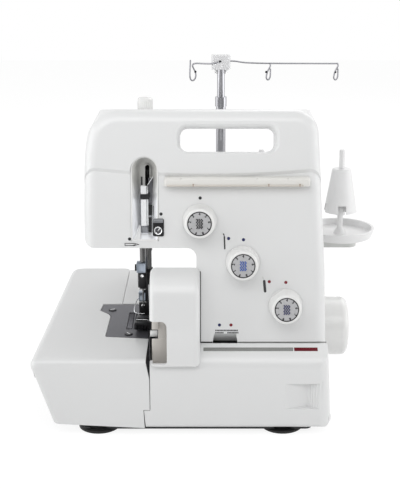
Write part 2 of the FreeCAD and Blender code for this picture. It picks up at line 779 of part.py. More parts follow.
def machine_frame():
    top = UPPER_BRACKET[1]
    low = LOWER_BRACKET[0] - 12
    frame = join(base_casting() + arm_casting() + frame_studs())
    bores = [
        rod((-FAR, SHAFT_Y, SHAFT_Z), RIGHT, BUSH_RADIUS + SEAT, 2 * FAR),
        rod((NEEDLE_X, NEEDLE_Y, low), UP, NEEDLE_BUSH + SEAT, top - low + 1),
        rod((PRESSER_X, PRESSER_Y, low), UP, PRESSER_BUSH + SEAT, top - low),
        rod((PRESSER_X, PRESSER_Y, top - 1), UP, KNOB_STEM + RUN, 40),
    ]
    for x, y in PLATE_SCREWS:
        bores.append(rod((x, y, 64), UP, PLATE_SCREW + 0.1, 20))
    for bore in bores:
        frame = frame.cut(bore)
    return frame


def casing_screws():
    screws = []
    for x, y in PLATE_SCREWS:
        head = rod((x, y, BED_TOP), UP, 3.2, 0.9)
        slot = box(x - 4, x + 4, y - 0.5, y + 0.5, BED_TOP + 0.4, BED_TOP + 2)
        screws.append(join([head, rod((x, y, 66), UP, PLATE_SCREW, BED_TOP - 66)]).cut(slot))
    for x, z in ((-98.0, 190.0), (-98.0, 250.0), (90.0, 235.0), (92.0, 120.0)):
        head = rod((x, CASING_REAR, z), BACK, 3.6, 1.6)
        slot = box(x - 5, x + 5, CASING_REAR + 0.9, CASING_REAR + 3, z - 0.5, z + 0.5)
        screws.append(head.cut(slot))
    return Part.makeCompound(screws)


def thread_guide_bar(outside):
    corners = [(33.5, 226.0, 2), (33.5, 233.5, 3), (50, 235.0, 0), (50, 225.0, 0)]
    bar = prism(corners, on_side(-40.6), RIGHT * 130.1)
    for x in (-26.0, 40.0, 68.0):
        bar = bar.cut(rod((x, 36.5, 220), UP, 1.0, 20))
    return bar.cut(outside)


def take_up_channel(outside):
    lining = channel_space(0.15, CHANNEL_BACK - 0.15).cut(channel_space(1.2, CHANNEL_BACK - 1.4))
    lining = lining.common(outside)
    slot = box(-59.5, -53, CHANNEL_BACK - 5, CHANNEL_BACK + 5, 206, 246)
    return lining.cut(slot)


def take_up_lever():
    y, z = TAKE_UP_PIVOT
    left = -57.6
    hub = rod((left, y, z), RIGHT, 5, 3)
    arm = prism([(y, z - 3, 0), (y, z + 3, 0), (41, z + 4.5, 4), (33, z + 14, 0), (31, z + 12, 0),
                 (37, z - 1, 4)], on_side(left), RIGHT * 3)
    eye = rod((left - 1, 33.5, z + 10.5), RIGHT, 0.9, 6)
    return join([hub, arm]).cut(rod((left - 1, y, z), RIGHT, TAKE_UP_STUD + RUN, 6)).cut(eye)


def needle_thread_guide():
    plate = box(-53.5, -47.3, 42, 44, 186, 204)
    lip = box(-53.5, -47.3, 36, 44, 184, 186)
    stem = box(-52.5, -48.5, 44, CHANNEL_BACK - 1.4, 191, 198)
    eye = rod((-51.5, 38.5, 180), UP, 1.0, 10)
    return join([plate, lip, stem]).cut(eye)


def at_facet(place, lift):
    base = Vec(place[0], facet_y(place[1]), place[1])
    return base + OUTWARD * lift


def tension_discs():
    sets = []
    for place in DIALS.values():
        shaft = Part.makeCylinder(TENSION_SHAFT, 36, at_facet(place, -24), OUTWARD)
        discs = [Part.makeCylinder(9, 1.2, at_facet(place, depth), OUTWARD) for depth in (-18.0, -15.5)]
        sets.append(join([shaft] + discs))
    return Part.makeCompound(sets)


def tension_dial(place):
    skirt = Part.makeCone(DIAL_RADIUS, DIAL_FACE_RADIUS, DIAL_HEIGHT - 0.6, at_facet(place, 0.6), OUTWARD)
    face_height = DIAL_HEIGHT - 0.01

    def at_face(point):
        return (point - at_facet(place, 0)).dot(OUTWARD) > face_height

    skirt = skirt.makeFillet(2.0, edges_where(skirt, at_face))
    label = Part.makeCylinder(DIAL_LABEL_RADIUS, 2, at_facet(place, DIAL_HEIGHT - 0.5), OUTWARD)
    bore = Part.makeCylinder(TENSION_SHAFT + RUN, 14, at_facet(place, 0), OUTWARD)
    return skirt.cut(label).cut(bore)


def looper_guides():
    bracket = box(10, 74, 57, 60, TRAY_TOP, 68)
    for x, z in ((20, 60), (42, 54), (64, 60)):
        bracket = bracket.cut(rod((x, 50, z), BACK, 2.4, 20))
    return bracket.cut(box(26, 58, 50, 70, 18, 40))


def cover_room(inset):
    """The plan of the front panel, wider towards the floor on its right side."""
    left = PLATE_JOG_X - 40
    right = COVER_RIGHT + COVER_FLARE * COVER_TOP_Z - inset
    rear = 60.0
    corners = [(left, inset, 0), (right, inset, COVER_CORNER - inset), (right, rear, 0), (left, rear, 0)]
    return prism(corners, on_plan(0), Vec(-COVER_FLARE * FAR, 0, FAR))


def grip_backing():
    """The thicker wall behind the finger pocket."""
    deep_x, deep_y = GRIP_DEEP
    plan = plain([
        (GRIP_LEFT - 2, COVER_WALL / 2),
        (GRIP_RIGHT + 2, COVER_WALL / 2),
        (GRIP_RIGHT + 2, COVER_WALL),
        (deep_x + 2, deep_y + COVER_WALL),
        (deep_x - 3, deep_y + COVER_WALL),
        (GRIP_LEFT - 2, COVER_WALL),
    ])
    return prism(plan, on_plan(GRIP_LOW - 2), UP * (GRIP_HIGH - GRIP_LOW + 4))


def grip_pocket():
    """The finger pocket that opens the cover, deepest at the foot of its ribbed wall."""
    plan = plain([(GRIP_LEFT, 0), (GRIP_LEFT, -1), (GRIP_RIGHT, -1), (GRIP_RIGHT, 0), GRIP_DEEP])
    return prism(plan, on_plan(GRIP_LOW), UP * (GRIP_HIGH - GRIP_LOW))


def grip_ribs():
    deep_x, deep_y = GRIP_DEEP
    ribs = []
    for count in range(GRIP_RIBS):
        share = (count + 0.6) / GRIP_RIBS
        x = deep_x + share * (GRIP_RIGHT - deep_x)
        y = deep_y * (1 - share)
        ribs.append(rod((x, y, GRIP_LOW), UP, GRIP_RIB_RADIUS, GRIP_HIGH - GRIP_LOW))
    return ribs


def looper_cover():
    panel_profile = [
        (COVER_TOP_Y, COVER_TOP_Z, 0),
        (0, 74.5, 18),
        (0, COVER_LOW, 4),
        (COVER_TOP_Y, COVER_LOW, 0),
    ]
    inner_profile = [(40, COVER_TOP_Z + 4, 0), (COVER_TOP_Y, COVER_TOP_Z - COVER_WALL - 0.2, 0),
                     (COVER_WALL, 73, 15.6), (COVER_WALL, 0, 0), (40, 0, 0)]
    tab_left = PLATE_JOG_X + COVER_GAP
    tab_top = PLATE_JOG_Z - COVER_GAP
    foot_right = COVER_RIGHT + COVER_FLARE * COVER_TOP_Z
    panel = prism(panel_profile, on_side(tab_left), RIGHT * (foot_right - tab_left))
    front_view = [
        (PLATE_JOG_FOOT + COVER_GAP, COVER_LOW, 0),
        (foot_right - COVER_FLARE * COVER_LOW, COVER_LOW, COVER_FOOT_CORNER),
        (COVER_RIGHT, COVER_TOP_Z, 0),
        (COVER_LEFT, COVER_TOP_Z, 0),
        (COVER_LEFT, tab_top, 0),
        (tab_left, tab_top, 0),
    ]
    panel = panel.common(cover_room(0)).common(prism(front_view, on_front(-1), BACK * 60))
    inside = prism(inner_profile, on_side(-FAR), RIGHT * (2 * FAR)).common(cover_room(COVER_WALL))
    corner_top = COVER_LOW + COVER_FOOT_CORNER
    corner_fill = plain([
        (foot_right - COVER_FOOT_CORNER - 1, 0),
        (foot_right, 0),
        (foot_right, corner_top + 1),
        (foot_right - COVER_WALL, corner_top + 1),
    ])
    inside = inside.cut(prism(corner_fill, on_front(-1), BACK * 60))

    hood_profile = [(40, 154.6, 0), (31, 153.1, 8), (9, 144.4, 25), (-4, 101, 60), (-4, 70, 2), (8, 66, 0),
                    (40, 66, 0)]
    hood = prism(hood_profile, on_side(HOOD_LEFT), RIGHT * (HOOD_RIGHT - HOOD_LEFT))
    side_edges = [edge for edge in hood.Edges if edge.BoundBox.XLength < 0.01 and edge.BoundBox.YMin < 30
                  and edge.BoundBox.ZMax > 68 and edge.BoundBox.YMax < 36]
    hood = hood.makeFillet(5.0, side_edges)
    wall = COVER_WALL
    hollow_profile = [(50, 152, 0), (31, 150.5, 6), (10, 142, 23), (-4 + wall, 100.5, 58), (-4 + wall, 74, 0),
                      (COVER_WALL, 66, 0), (COVER_WALL, 60, 0), (50, 60, 0)]
    hollow = prism(hollow_profile, on_side(HOOD_LEFT + wall), RIGHT * (HOOD_RIGHT - HOOD_LEFT - 2 * wall))
    hollow_edges = [edge for edge in hollow.Edges if edge.BoundBox.XLength < 0.01 and edge.BoundBox.YMin < 30
                    and edge.BoundBox.ZMax > 75 and edge.BoundBox.YMax < 36]
    hollow = hollow.makeFillet(2.6, hollow_edges)
    seam_z = FACET_FOOT_Z - 0.4
    behind_hood = box(-FAR, FAR, -FAR, FAR, seam_z, FAR).cut(ahead_of_facet(-0.8))
    behind_panel = box(-FAR, FAR, COVER_TOP_Y, FAR, 0, seam_z)
    cover = panel.fuse(hood).cut(inside).cut(hollow).cut(behind_hood).cut(behind_panel)
    window_corners = [
        (HOOD_LEFT - 16, WINDOW_LOW, 0),
        (WINDOW_RIGHT, WINDOW_LOW, 2),
        (WINDOW_RIGHT, WINDOW_TOP, 5),
        (HOOD_LEFT - 16, WINDOW_TOP, 0),
    ]
    cover = cover.cut(prism(window_corners, on_front(-20), BACK * 70))

    cover = cover.fuse(grip_backing()).cut(grip_pocket())
    lugs = []
    for x in (-30.0, 50.0):
        lugs.append(rod((x, HINGE_Y, HINGE_Z), RIGHT, HINGE_LUG, 6))
        lugs.append(box(x, x + 6, COVER_WALL - 0.5, HINGE_Y, HINGE_Z - 3, HINGE_Z + 3))
    cover = join([cover] + grip_ribs() + lugs)
    return cover.cut(rod((-FAR, HINGE_Y, HINGE_Z), RIGHT, HINGE_ROD + RUN, 2 * FAR - 100))


def hinge_rod():
    return rod((-46, HINGE_Y, HINGE_Z), RIGHT, HINGE_ROD, 138)


def looper(pivot, depth, tip):
    """An arm in the XZ plane that ends in a pointed hook."""
    x, z = pivot
    tip_x, tip_z = tip
    y_low, y_high = depth
    hub = rod((x, y_low, z), BACK, 6, y_high - y_low)
    arm = prism([(x - 5, z + 2, 0), (x + 5, z + 2, 0), (x + 1, tip_z - 6, 8), (x - 6, tip_z + 2, 4),
                 (tip_x, tip_z + 0.4, 0), (tip_x, tip_z - 0.4, 0), (x - 10, tip_z - 4, 4)],
                on_front(y_low), BACK * (y_high - y_low))
    return join([hub, arm]).cut(rod((x, y_low - 1, z), BACK, STUD + RUN, y_high - y_low + 2))


def upper_knife():
    x, y = KNIFE_GUIDE
    boss = rod((x, y, 38), UP, 6, 20)
    bridge = box(-52, x, y - 4, y + 4, 40, 56)
    arm = prism([(y - 6, 38, 0), (y + 6, 38, 0), (y + 5, 70, 6), (y + 8, 92, 3), (54, 92, 3), (44, 88, 4),
                 (42, 79, 4), (54, 74, 6)], on_side(-55.2), RIGHT * 4.2)
    blade = prism(plain([(58, 73.5), (72, 76.5), (72, 92), (58, 92)]), on_side(-56.8), RIGHT * 1.6)
    knob_bore = rod((-60, KNIFE_KNOB[0], KNIFE_KNOB[1]), RIGHT, KNIFE_KNOB_RADIUS + SEAT, 20)
    return join([boss, bridge, arm, blade]).cut(rod((x, y, 0), UP, STUD + RUN, 100)).cut(knob_bore)


def knife_knob():
    left = -56.5
    length = 7.0
    knob = rod((left, KNIFE_KNOB[0], KNIFE_KNOB[1]), RIGHT, KNIFE_KNOB_RADIUS, length)
    return knob.makeFillet(0.8, edges_where(knob, lambda point: point.x > left + length - 0.1))


def lower_knife():
    return prism(plain([(60, 50), (76, 50), (76, 74.8), (60, 74.8)]), on_side(-58), RIGHT)


def lower_knife_bracket():
    return box(-64, -58, 60, 76, 18, 62).cut(box(-66, -61, 59, 70, 50, 70))


def shaft_bushes():
    rings = []
    for x, length in ((-64.0, 14.0), (86.0, 12.0)):
        rings.append(ring((x, SHAFT_Y, SHAFT_Z), RIGHT, BUSH_RADIUS, SHAFT_RADIUS + RUN, length))
    return Part.makeCompound(rings)


def bar_bushes():
    rings = []
    for low, high in (LOWER_BRACKET, UPPER_BRACKET):
        rings.append(ring((NEEDLE_X, NEEDLE_Y, low), UP, NEEDLE_BUSH, NEEDLE_BAR + RUN, high - low))
        top = min(high, UPPER_BRACKET[1] - 1)
        rings.append(ring((PRESSER_X, PRESSER_Y, low), UP, PRESSER_BUSH, PRESSER_BAR + RUN, top - low))
    return Part.makeCompound(rings)


def main_shaft():
    shaft = rod((-62, SHAFT_Y, SHAFT_Z), RIGHT, SHAFT_RADIUS, 187)
    cranks = []
    for x, throw in ((-44.0, 2.5), (-32.0, -2.5), (10.0, 2.5)):
        cranks.append(rod((x, SHAFT_Y, SHAFT_Z + throw), RIGHT, 7, 7))
    return join([shaft] + cranks)


def pulley(centre, radius, bore):
    y, z = centre
    left, right = BELT_X
    pieces = [
        rod((left, y, z), RIGHT, radius, right - left),
        rod((left - 2, y, z), RIGHT, radius + FLANGE, 2),
        rod((right, y, z), RIGHT, radius + FLANGE, 2),
    ]
    wheel = join(pieces)
    if bore:
        wheel = wheel.cut(rod((0, y, z), RIGHT, bore, 200))
    return wheel


def drive_pulley():
    return pulley((SHAFT_Y, SHAFT_Z), DRIVE_PULLEY, SHAFT_RADIUS + SEAT)


def motor_pulley():
    axle = rod((44.5, MOTOR_Y, MOTOR_Z), RIGHT, 4, 36)
    return join([pulley((MOTOR_Y, MOTOR_Z), MOTOR_PULLEY, 0), axle])


def belt_face(grow):
    """Two arcs and two straight runs round both pulleys."""
    big = Vec(SHAFT_Y, SHAFT_Z, 0)
    small = Vec(MOTOR_Y, MOTOR_Z, 0)
    big_radius = DRIVE_PULLEY + BELT_GAP + grow
    small_radius = MOTOR_PULLEY + BELT_GAP + grow
    along = small - big
    turn = math.acos((big_radius - small_radius) / along.Length)
    heading = math.atan2(along.y, along.x)

    def spot(centre, radius, angle):
        return Vec(BELT_X[0] + 1, centre.x + radius * math.cos(angle), centre.y + radius * math.sin(angle))

    big_start = spot(big, big_radius, heading + turn)
    big_middle = spot(big, big_radius, heading + math.pi)
    big_end = spot(big, big_radius, heading - turn)
    small_start = spot(small, small_radius, heading - turn)
    small_middle = spot(small, small_radius, heading)
    small_end = spot(small, small_radius, heading + turn)
    edges = [
        Part.Arc(big_start, big_middle, big_end).toShape(),
        Part.makeLine(big_end, small_start),
        Part.Arc(small_start, small_middle, small_end).toShape(),
        Part.makeLine(small_end, big_start),
    ]
    return Part.Face(Part.Wire(edges))


def drive_belt():
    width = BELT_X[1] - BELT_X[0] - 2
    return belt_face(BELT_THICK).extrude(RIGHT * width).cut(belt_face(0).extrude(RIGHT * width))


def motor():
    can = rod((-2, MOTOR_Y, MOTOR_Z), RIGHT, MOTOR_RADIUS, 52)
    nose = rod((50, MOTOR_Y, MOTOR_Z), RIGHT, 14, 10)
    tail = rod((-8, MOTOR_Y, MOTOR_Z), RIGHT, 16, 6)
    return join([can, nose, tail]).cut(rod((44, MOTOR_Y, MOTOR_Z), RIGHT, 4 + RUN, 20))


def motor_bracket():
    saddle = box(0, 38, 146, 164, 126, 174)
    return saddle.cut(rod((-20, MOTOR_Y, MOTOR_Z), RIGHT, MOTOR_RADIUS + SEAT, 80))


def handwheel():
    width = WHEEL_RIGHT - WHEEL_LEFT
    wheel = rod((WHEEL_LEFT, SHAFT_Y, SHAFT_Z), RIGHT, WHEEL_RADIUS, width)
    wheel = wheel.makeFillet(7.0, edges_where(wheel, lambda point: point.x > WHEEL_RIGHT - 0.1))
    wheel = wheel.makeFillet(3.0, edges_where(wheel, lambda point: point.x < WHEEL_LEFT + 0.1))
    dish = rod((WHEEL_RIGHT - 2.5, SHAFT_Y, SHAFT_Z), RIGHT, 15, 10)
    bore = rod((WHEEL_LEFT - 1, SHAFT_Y, SHAFT_Z), RIGHT, SHAFT_RADIUS + SEAT, 16.1)
    return wheel.cut(dish).cut(bore)


def needle_bar():
    return rod((NEEDLE_X, NEEDLE_Y, BAR_LOW), UP, NEEDLE_BAR, NEEDLE_BAR_LENGTH)


def needle_clamp():
    half_width = 4.1
    half_depth = 4.4
    collar = box(NEEDLE_X - half_width, NEEDLE_X + half_width, NEEDLE_Y - half_depth, NEEDLE_Y + half_depth,
                 CLAMP_SPLIT, CLAMP_TOP)
    holder = rod((NEEDLE_X, NEEDLE_Y, CLAMP_LOW), UP, half_width, CLAMP_SPLIT - CLAMP_LOW)
    screw = rod((NEEDLE_X - 10, NEEDLE_Y, CLAMP_TOP - 5), RIGHT, 3.2, 6.5)
    bore = rod((NEEDLE_X, NEEDLE_Y, BAR_LOW), UP, NEEDLE_BAR + SEAT, 40)
    socket = rod((NEEDLE_X, NEEDLE_Y, NEEDLE_LOW), UP, NEEDLE_SHANK + SEAT, BAR_LOW - NEEDLE_LOW)
    return join([collar, holder, screw]).cut(bore).cut(socket)


def needle():
    point_length = 5.0
    blade_top = CLAMP_LOW - 4
    blade_radius = 0.6
    shank = rod((NEEDLE_X, NEEDLE_Y, blade_top), UP, NEEDLE_SHANK, BAR_LOW - blade_top)
    blade = rod((NEEDLE_X, NEEDLE_Y, NEEDLE_LOW + point_length), UP, blade_radius,
                blade_top - NEEDLE_LOW - point_length)
    point = Part.makeCone(0.15, blade_radius, point_length, Vec(NEEDLE_X, NEEDLE_Y, NEEDLE_LOW))
    return join([shank, blade, point])


def presser_bar():
    return rod((PRESSER_X, PRESSER_Y, PRESSER_LOW), UP, PRESSER_BAR, PRESSER_TOP - PRESSER_LOW)


def presser_foot():
    left = -71.5
    right = -57.3
    sole_low = 76.3
    sole_top = 78.8
    sole = prism([(66.5, 81.5, 0), (68, 82.5, 0), (76, sole_top, 6), (118, sole_top, 0), (118, sole_low, 0),
                  (74, sole_low, 6)], on_side(left), RIGHT * (right - left))
    ankle = box(-65, right, 101.5, 114, sole_low + 1, 92)
    shank = box(-65.2, -55.8, 101.5, 111.5, 90, SHANK_TOP)
    foot = join([sole, ankle, shank])
    foot = foot.cut(box(NEEDLE_X - 1.6, NEEDLE_X + 1.6, 84, 99, 70, 95))
    foot = foot.cut(box(-68.8, -62.0, 60, 80, 70, 95))
    return foot.cut(rod((PRESSER_X, PRESSER_Y, PRESSER_LOW), UP, PRESSER_BAR + SEAT, 40))


def presser_spring():
    return ring((PRESSER_X, PRESSER_Y, LOWER_BRACKET[1] + 4), UP, 5.8, PRESSER_BAR + 0.4, 42)


def presser_lifter():
    y, z = LIFTER_PIVOT
    hub = rod((-67, y, z), RIGHT, 6, 11)
    handle = prism([(y - 4, z - 2, 0), (y + 4, z - 1, 0), (y + 26, z - 44, 3), (y + 20, z - 48, 3)],
                   on_side(-64), RIGHT * 5)
    return join([hub, handle]).cut(rod((-75, y, z), RIGHT, STUD + RUN, 30))


def pressure_knob():
    knob = rod((PRESSER_X, PRESSER_Y, 279), UP, 7.15, 15)
    knob = knob.makeFillet(1.5, edges_where(knob, lambda point: point.z > 293.9))
    ribs = []
    for count in range(20):
        angle = count * math.pi / 10
        x = PRESSER_X + 7.6 * math.cos(angle)
        y = PRESSER_Y + 7.6 * math.sin(angle)
        ribs.append(rod((x, y, 283), UP, 0.8, 12))
    knob = knob.cut(Part.makeCompound(ribs))
    return join([knob, rod((PRESSER_X, PRESSER_Y, 261), UP, KNOB_STEM, 19)])


def power_inlet():
    y_low, y_high, z_low, z_high = POWER_BOX
    housing = box(97, 109, y_low, y_high, z_low, z_high)
    socket = box(100, 120, y_low + 4, y_high - 4, z_low + 3, z_low + 16)
    seat = box(102, 120, y_low + 5, y_high - 5, z_high - 18, z_high - 4)
    pivot = rod((SWITCH_PIVOT_X, (y_low + y_high) / 2, SWITCH_PIN_RANGE[0] - RUN), UP, SWITCH_PIN + RUN,
                SWITCH_PIN_RANGE[1] - SWITCH_PIN_RANGE[0] + 2 * RUN)
    housing = housing.cut(socket).cut(seat).cut(pivot)
    pins = [rod((99.5, y_low + offset, z_low + 9.5), RIGHT, 1.6, 3.5) for offset in (9.5, 16.5)]
    return join([housing] + pins)


def power_switch():
    y_low, y_high, z_low, z_high = POWER_BOX
    middle = (y_low + y_high) / 2
    corners = [
        (103.2, y_low + 5.9, 0.5),
        (109.2, y_low + 5.9, 1),
        (110.6, middle, 12),
        (109.2, y_high - 5.9, 1),
        (103.2, y_high - 5.9, 0.5),
    ]
    rocker = prism(corners, on_plan(z_high - 17.3), UP * 12.6)
    pivot = rod((SWITCH_PIVOT_X, middle, SWITCH_PIN_RANGE[0]), UP, SWITCH_PIN,
                SWITCH_PIN_RANGE[1] - SWITCH_PIN_RANGE[0])
    return join([rocker, pivot])


def sewing_lamp():
    lens = box(-106, -84, 118, 150, HEAD_LOW - 3, HEAD_LOW)
    return lens.makeFillet(1.2, edges_where(lens, lambda point: point.z < HEAD_LOW - 2.9))


def stitch_length_dial():
    y, z = STITCH_DIAL
    left = 105.8
    thick = 8.0
    knob = rod((left, y, z), RIGHT, 14, thick)
    knob = knob.makeFillet(1.5, edges_where(knob, lambda point: point.x > left + thick - 0.1))
    return join([knob, rod((97, y, z), RIGHT, 4, 11)])


def differential_lever():
    y, z = LEVER
    left = 106.8
    thick = 4.0
    hub = rod((left, y, z), RIGHT, 6, thick)
    arm = prism([(y - 4, z, 0), (y + 4, z - 3, 0), (y + 22, z + 9, 3), (y + 19, z + 15, 3)],
                on_side(left), RIGHT * thick)
    return join([hub, arm, rod((97, y, z), RIGHT, 3.5, 12)])


def spool_stand():
    left = SPOOL_X["cone_holder_left"] - 18
    right = SPOOL_X["cone_holder_right"] + 18
    front = STAND_Y - 10
    rear = STAND_Y + 10
    corners = [(left, front, 9), (right, front, 9), (right, rear, 9), (left, rear, 9)]
    bar = prism(corners, on_plan(STAND_LOW), UP * (STAND_TOP - STAND_LOW))
    posts = [box(x, x + 12, STAND_Y - 6, STAND_Y + 6, BED_TOP, STAND_LOW + 1) for x in (-6.0, 72.0)]
    return join([bar] + posts)


def spool_trays():
    trays = []
    for x in SPOOL_X.values():
        dish = Part.makeCone(TRAY_DISC - 3, TRAY_DISC, 9, Vec(x, STAND_Y, STAND_TOP))
        hollow = Part.makeCone(TRAY_DISC - 5.2, TRAY_DISC - 2.2, 9, Vec(x, STAND_Y, STAND_TOP + TRAY_FLOOR))
        hole = rod((x, STAND_Y, STAND_TOP - 1), UP, PIN_RADIUS + SEAT, 10)
        trays.append(dish.cut(hollow).cut(hole))
    return Part.makeCompound(trays)


def spool_pins():
    pins = []
    for x in SPOOL_X.values():
        stem = rod((x, STAND_Y, STAND_TOP), UP, PIN_RADIUS, PIN_TOP - STAND_TOP)
        stem = stem.makeFillet(1.2, edges_where(stem, lambda point: point.z > PIN_TOP - 0.1))
        shoulder = rod((x, STAND_Y, CONE_LOW - 4.3), UP, 5, 4)
        flare = Part.makeCone(7, PIN_RADIUS, 6, Vec(x, STAND_Y, STAND_TOP + TRAY_FLOOR))
        pins.append(join([stem, shoulder, flare]))
    return Part.makeCompound(pins)


def cone_holder(x):
    base_radius = 17.75
    top_radius = 10.0
    wall = 1.8
    low = Vec(x, STAND_Y, CONE_LOW)
    cone = Part.makeCone(base_radius, top_radius, CONE_HEIGHT, low)
    cone = cone.makeFillet(2.0, edges_where(cone, lambda point: point.z > CONE_LOW + CONE_HEIGHT - 0.1))
    hollow = Part.makeCone(base_radius - wall, top_radius - wall, CONE_HEIGHT - wall, low)
    shell = cone.cut(hollow)
    core = rod((x, STAND_Y, CONE_LOW), UP, CONE_CORE, CONE_HEIGHT - 1)
    fins = []
    slots = []
    for count in range(2):
        fin = box(x - base_radius, x + base_radius, STAND_Y - 0.8, STAND_Y + 0.8, CONE_LOW, CONE_LOW + 40)
        fin.rotate(low, UP, 45 + 90 * count)
        fins.append(fin.common(cone))
        slot = box(x - 25, x + 25, STAND_Y - SLOT_HALF, STAND_Y + SLOT_HALF,
                   CONE_LOW - 1, CONE_LOW + SLOT_HEIGHT)
        slot.rotate(low, UP, 90 * count)
        slots.append(slot.cut(rod((x, STAND_Y, CONE_LOW - 2), UP, CONE_CORE + 1, 80)))
    holder = join([shell, core] + fins)
    for slot in slots:
        holder = holder.cut(slot)
    return holder.cut(rod((x, STAND_Y, CONE_LOW - 1), UP, PIN_RADIUS + 0.3, 80))


def lower_pole():
    collar = rod((POLE_X, STAND_Y, POLE_JOINT_Z - 10), UP, POLE_OUTER + 0.9, 10)
    tube = join([rod((POLE_X, STAND_Y, STAND_TOP), UP, POLE_OUTER, POLE_JOINT_Z - STAND_TOP), collar])
    return tube.cut(rod((POLE_X, STAND_Y, STAND_TOP + 2), UP, POLE_INNER + RUN, 200))


def upper_pole():
    return rod((POLE_X, STAND_Y, STAND_TOP + 12), UP, POLE_INNER, 303 - STAND_TOP - 12)


def wire_path(points):
    """A round wire through straight runs, with a ball at each bend."""
    pieces = []
    for start, end in zip(points, points[1:]):
        run = end - start
        pieces.append(Part.makeCylinder(WIRE_RADIUS, run.Length, start, run))
    for point in points:
        pieces.append(Part.makeSphere(WIRE_RADIUS, point))
    return pieces


def hook_path(top, side):
    """A wire that leaves the rail, turns back on itself and ends in an open loop."""
    steps = [(0, 0), (1.6, -3), (0.6, -6.5), (-2.4, -9), (-3.2, -13), (-1.4, -16.8), (1.2, -15.5), (2.0, -9)]
    return [top + Vec(side * across, 0, up) for across, up in steps]


def thread_arm():
    hub = box(POLE_X - 10, POLE_X + 10, STAND_Y - 6.5, STAND_Y + 6.5, 303, 317)
    hub = hub.makeFillet(2.5, [edge for edge in hub.Edges if edge.BoundBox.ZLength > 10])
    pieces = [hub]
    rail_left = Vec(HOOK_X[0], STAND_Y, GUIDE_Z)
    rail_right = Vec(HOOK_X[-1], STAND_Y, GUIDE_Z)
    pieces += wire_path([rail_left, rail_right])
    for x in HOOK_X:
        side = 1 if x > POLE_X else -1
        pieces += wire_path(hook_path(Vec(x, STAND_Y, GUIDE_Z), side))
    return join(pieces)


def all_nodes():
    outside, front, rear = casings()
    nodes = {
        "front_casing": front,
        "rear_casing": rear,
        "base_tray": base_tray(),
        "rubber_feet": rubber_feet(),
        "cloth_plate": cloth_plate(),
        "plate_pivot": plate_pivot(),
        "bed_cover": bed_cover(),
        "needle_plate": needle_plate(),
        "feed_dogs": feed_dogs(),
        "machine_frame": machine_frame(),
        "casing_screws": casing_screws(),
        "thread_guide_bar": thread_guide_bar(outside),
        "take_up_channel": take_up_channel(outside),
        "take_up_lever": take_up_lever(),
        "needle_thread_guide": needle_thread_guide(),
        "tension_discs": tension_discs(),
        "looper_guides": looper_guides(),
        "looper_cover": looper_cover(),
        "hinge_rod": hinge_rod(),
        "lower_looper": looper(LOWER_LOOPER, LOWER_LOOPER_Y, (-60.0, 68.0)),
        "upper_looper": looper(UPPER_LOOPER, UPPER_LOOPER_Y, (-50.0, 77.0)),
        "upper_knife": upper_knife(),
        "knife_knob": knife_knob(),
        "lower_knife": lower_knife(),
        "lower_knife_bracket": lower_knife_bracket(),
        "shaft_bushes": shaft_bushes(),
        "bar_bushes": bar_bushes(),
        "main_shaft": main_shaft(),
        "drive_pulley": drive_pulley(),
        "motor_pulley": motor_pulley(),
        "drive_belt": drive_belt(),
        "motor": motor(),
        "motor_bracket": motor_bracket(),
        "handwheel": handwheel(),
        "needle_bar": needle_bar(),
        "needle_clamp": needle_clamp(),
        "needle": needle(),
        "presser_bar": presser_bar(),
        "presser_foot": presser_foot(),
        "presser_spring": presser_spring(),
        "presser_lifter": presser_lifter(),
        "pressure_knob": pressure_knob(),
        "power_inlet": power_inlet(),
        "power_switch": power_switch(),
        "sewing_lamp": sewing_lamp(),
        "stitch_length_dial": stitch_length_dial(),
        "differential_lever": differential_lever(),
        "spool_stand": spool_stand(),
        "spool_trays": spool_trays(),
        "spool_pins": spool_pins(),
        "lower_pole": lower_pole(),
        "upper_pole": upper_pole(),
        "thread_arm": thread_arm(),
    }
    for name, place in DIALS.items():
        nodes[name] = tension_dial(place)
    for name, x in SPOOL_X.items():
        nodes[name] = cone_holder(x)
    return nodes


def export(nodes):
    os.makedirs("parts", exist_ok=True)
    whole = Part.makeCompound(list(nodes.values())).BoundBox
    shift = Vec(-whole.Center.x, -whole.Center.y, -whole.ZMin)
    print("moved by", [round(value, 3) for value in shift], "nodes", len(nodes))
    print("size", round(whole.XLength, 2), round(whole.YLength, 2), round(whole.ZLength, 2))
    for name, shape in nodes.items():
        shape.translate(shift)
        if not shape.isValid():
            print("not valid:", name)
        shape.exportStep("parts/" + name + ".step")


export(all_nodes())
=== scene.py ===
import json
import math

import bmesh
import bpy
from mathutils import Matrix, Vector


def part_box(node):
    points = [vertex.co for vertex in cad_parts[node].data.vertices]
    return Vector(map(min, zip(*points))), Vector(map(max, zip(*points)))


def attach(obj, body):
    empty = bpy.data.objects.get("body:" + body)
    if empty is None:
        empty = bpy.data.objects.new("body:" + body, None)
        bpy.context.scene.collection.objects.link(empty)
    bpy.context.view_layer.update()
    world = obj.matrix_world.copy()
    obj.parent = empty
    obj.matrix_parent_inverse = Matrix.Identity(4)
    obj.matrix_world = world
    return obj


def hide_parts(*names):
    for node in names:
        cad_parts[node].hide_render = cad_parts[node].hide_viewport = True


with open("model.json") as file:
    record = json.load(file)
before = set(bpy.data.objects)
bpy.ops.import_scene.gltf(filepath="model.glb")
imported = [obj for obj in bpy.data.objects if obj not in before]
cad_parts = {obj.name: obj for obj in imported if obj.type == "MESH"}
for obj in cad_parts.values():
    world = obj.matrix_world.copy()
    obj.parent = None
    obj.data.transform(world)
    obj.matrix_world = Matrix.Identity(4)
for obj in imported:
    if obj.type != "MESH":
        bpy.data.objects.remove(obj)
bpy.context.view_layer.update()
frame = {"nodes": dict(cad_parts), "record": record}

# Overlock sewing machine: finishes for the solids, and the small pieces that dress them.
# Places are in millimetres from the front edge of the cloth plate and the middle plane of the view.

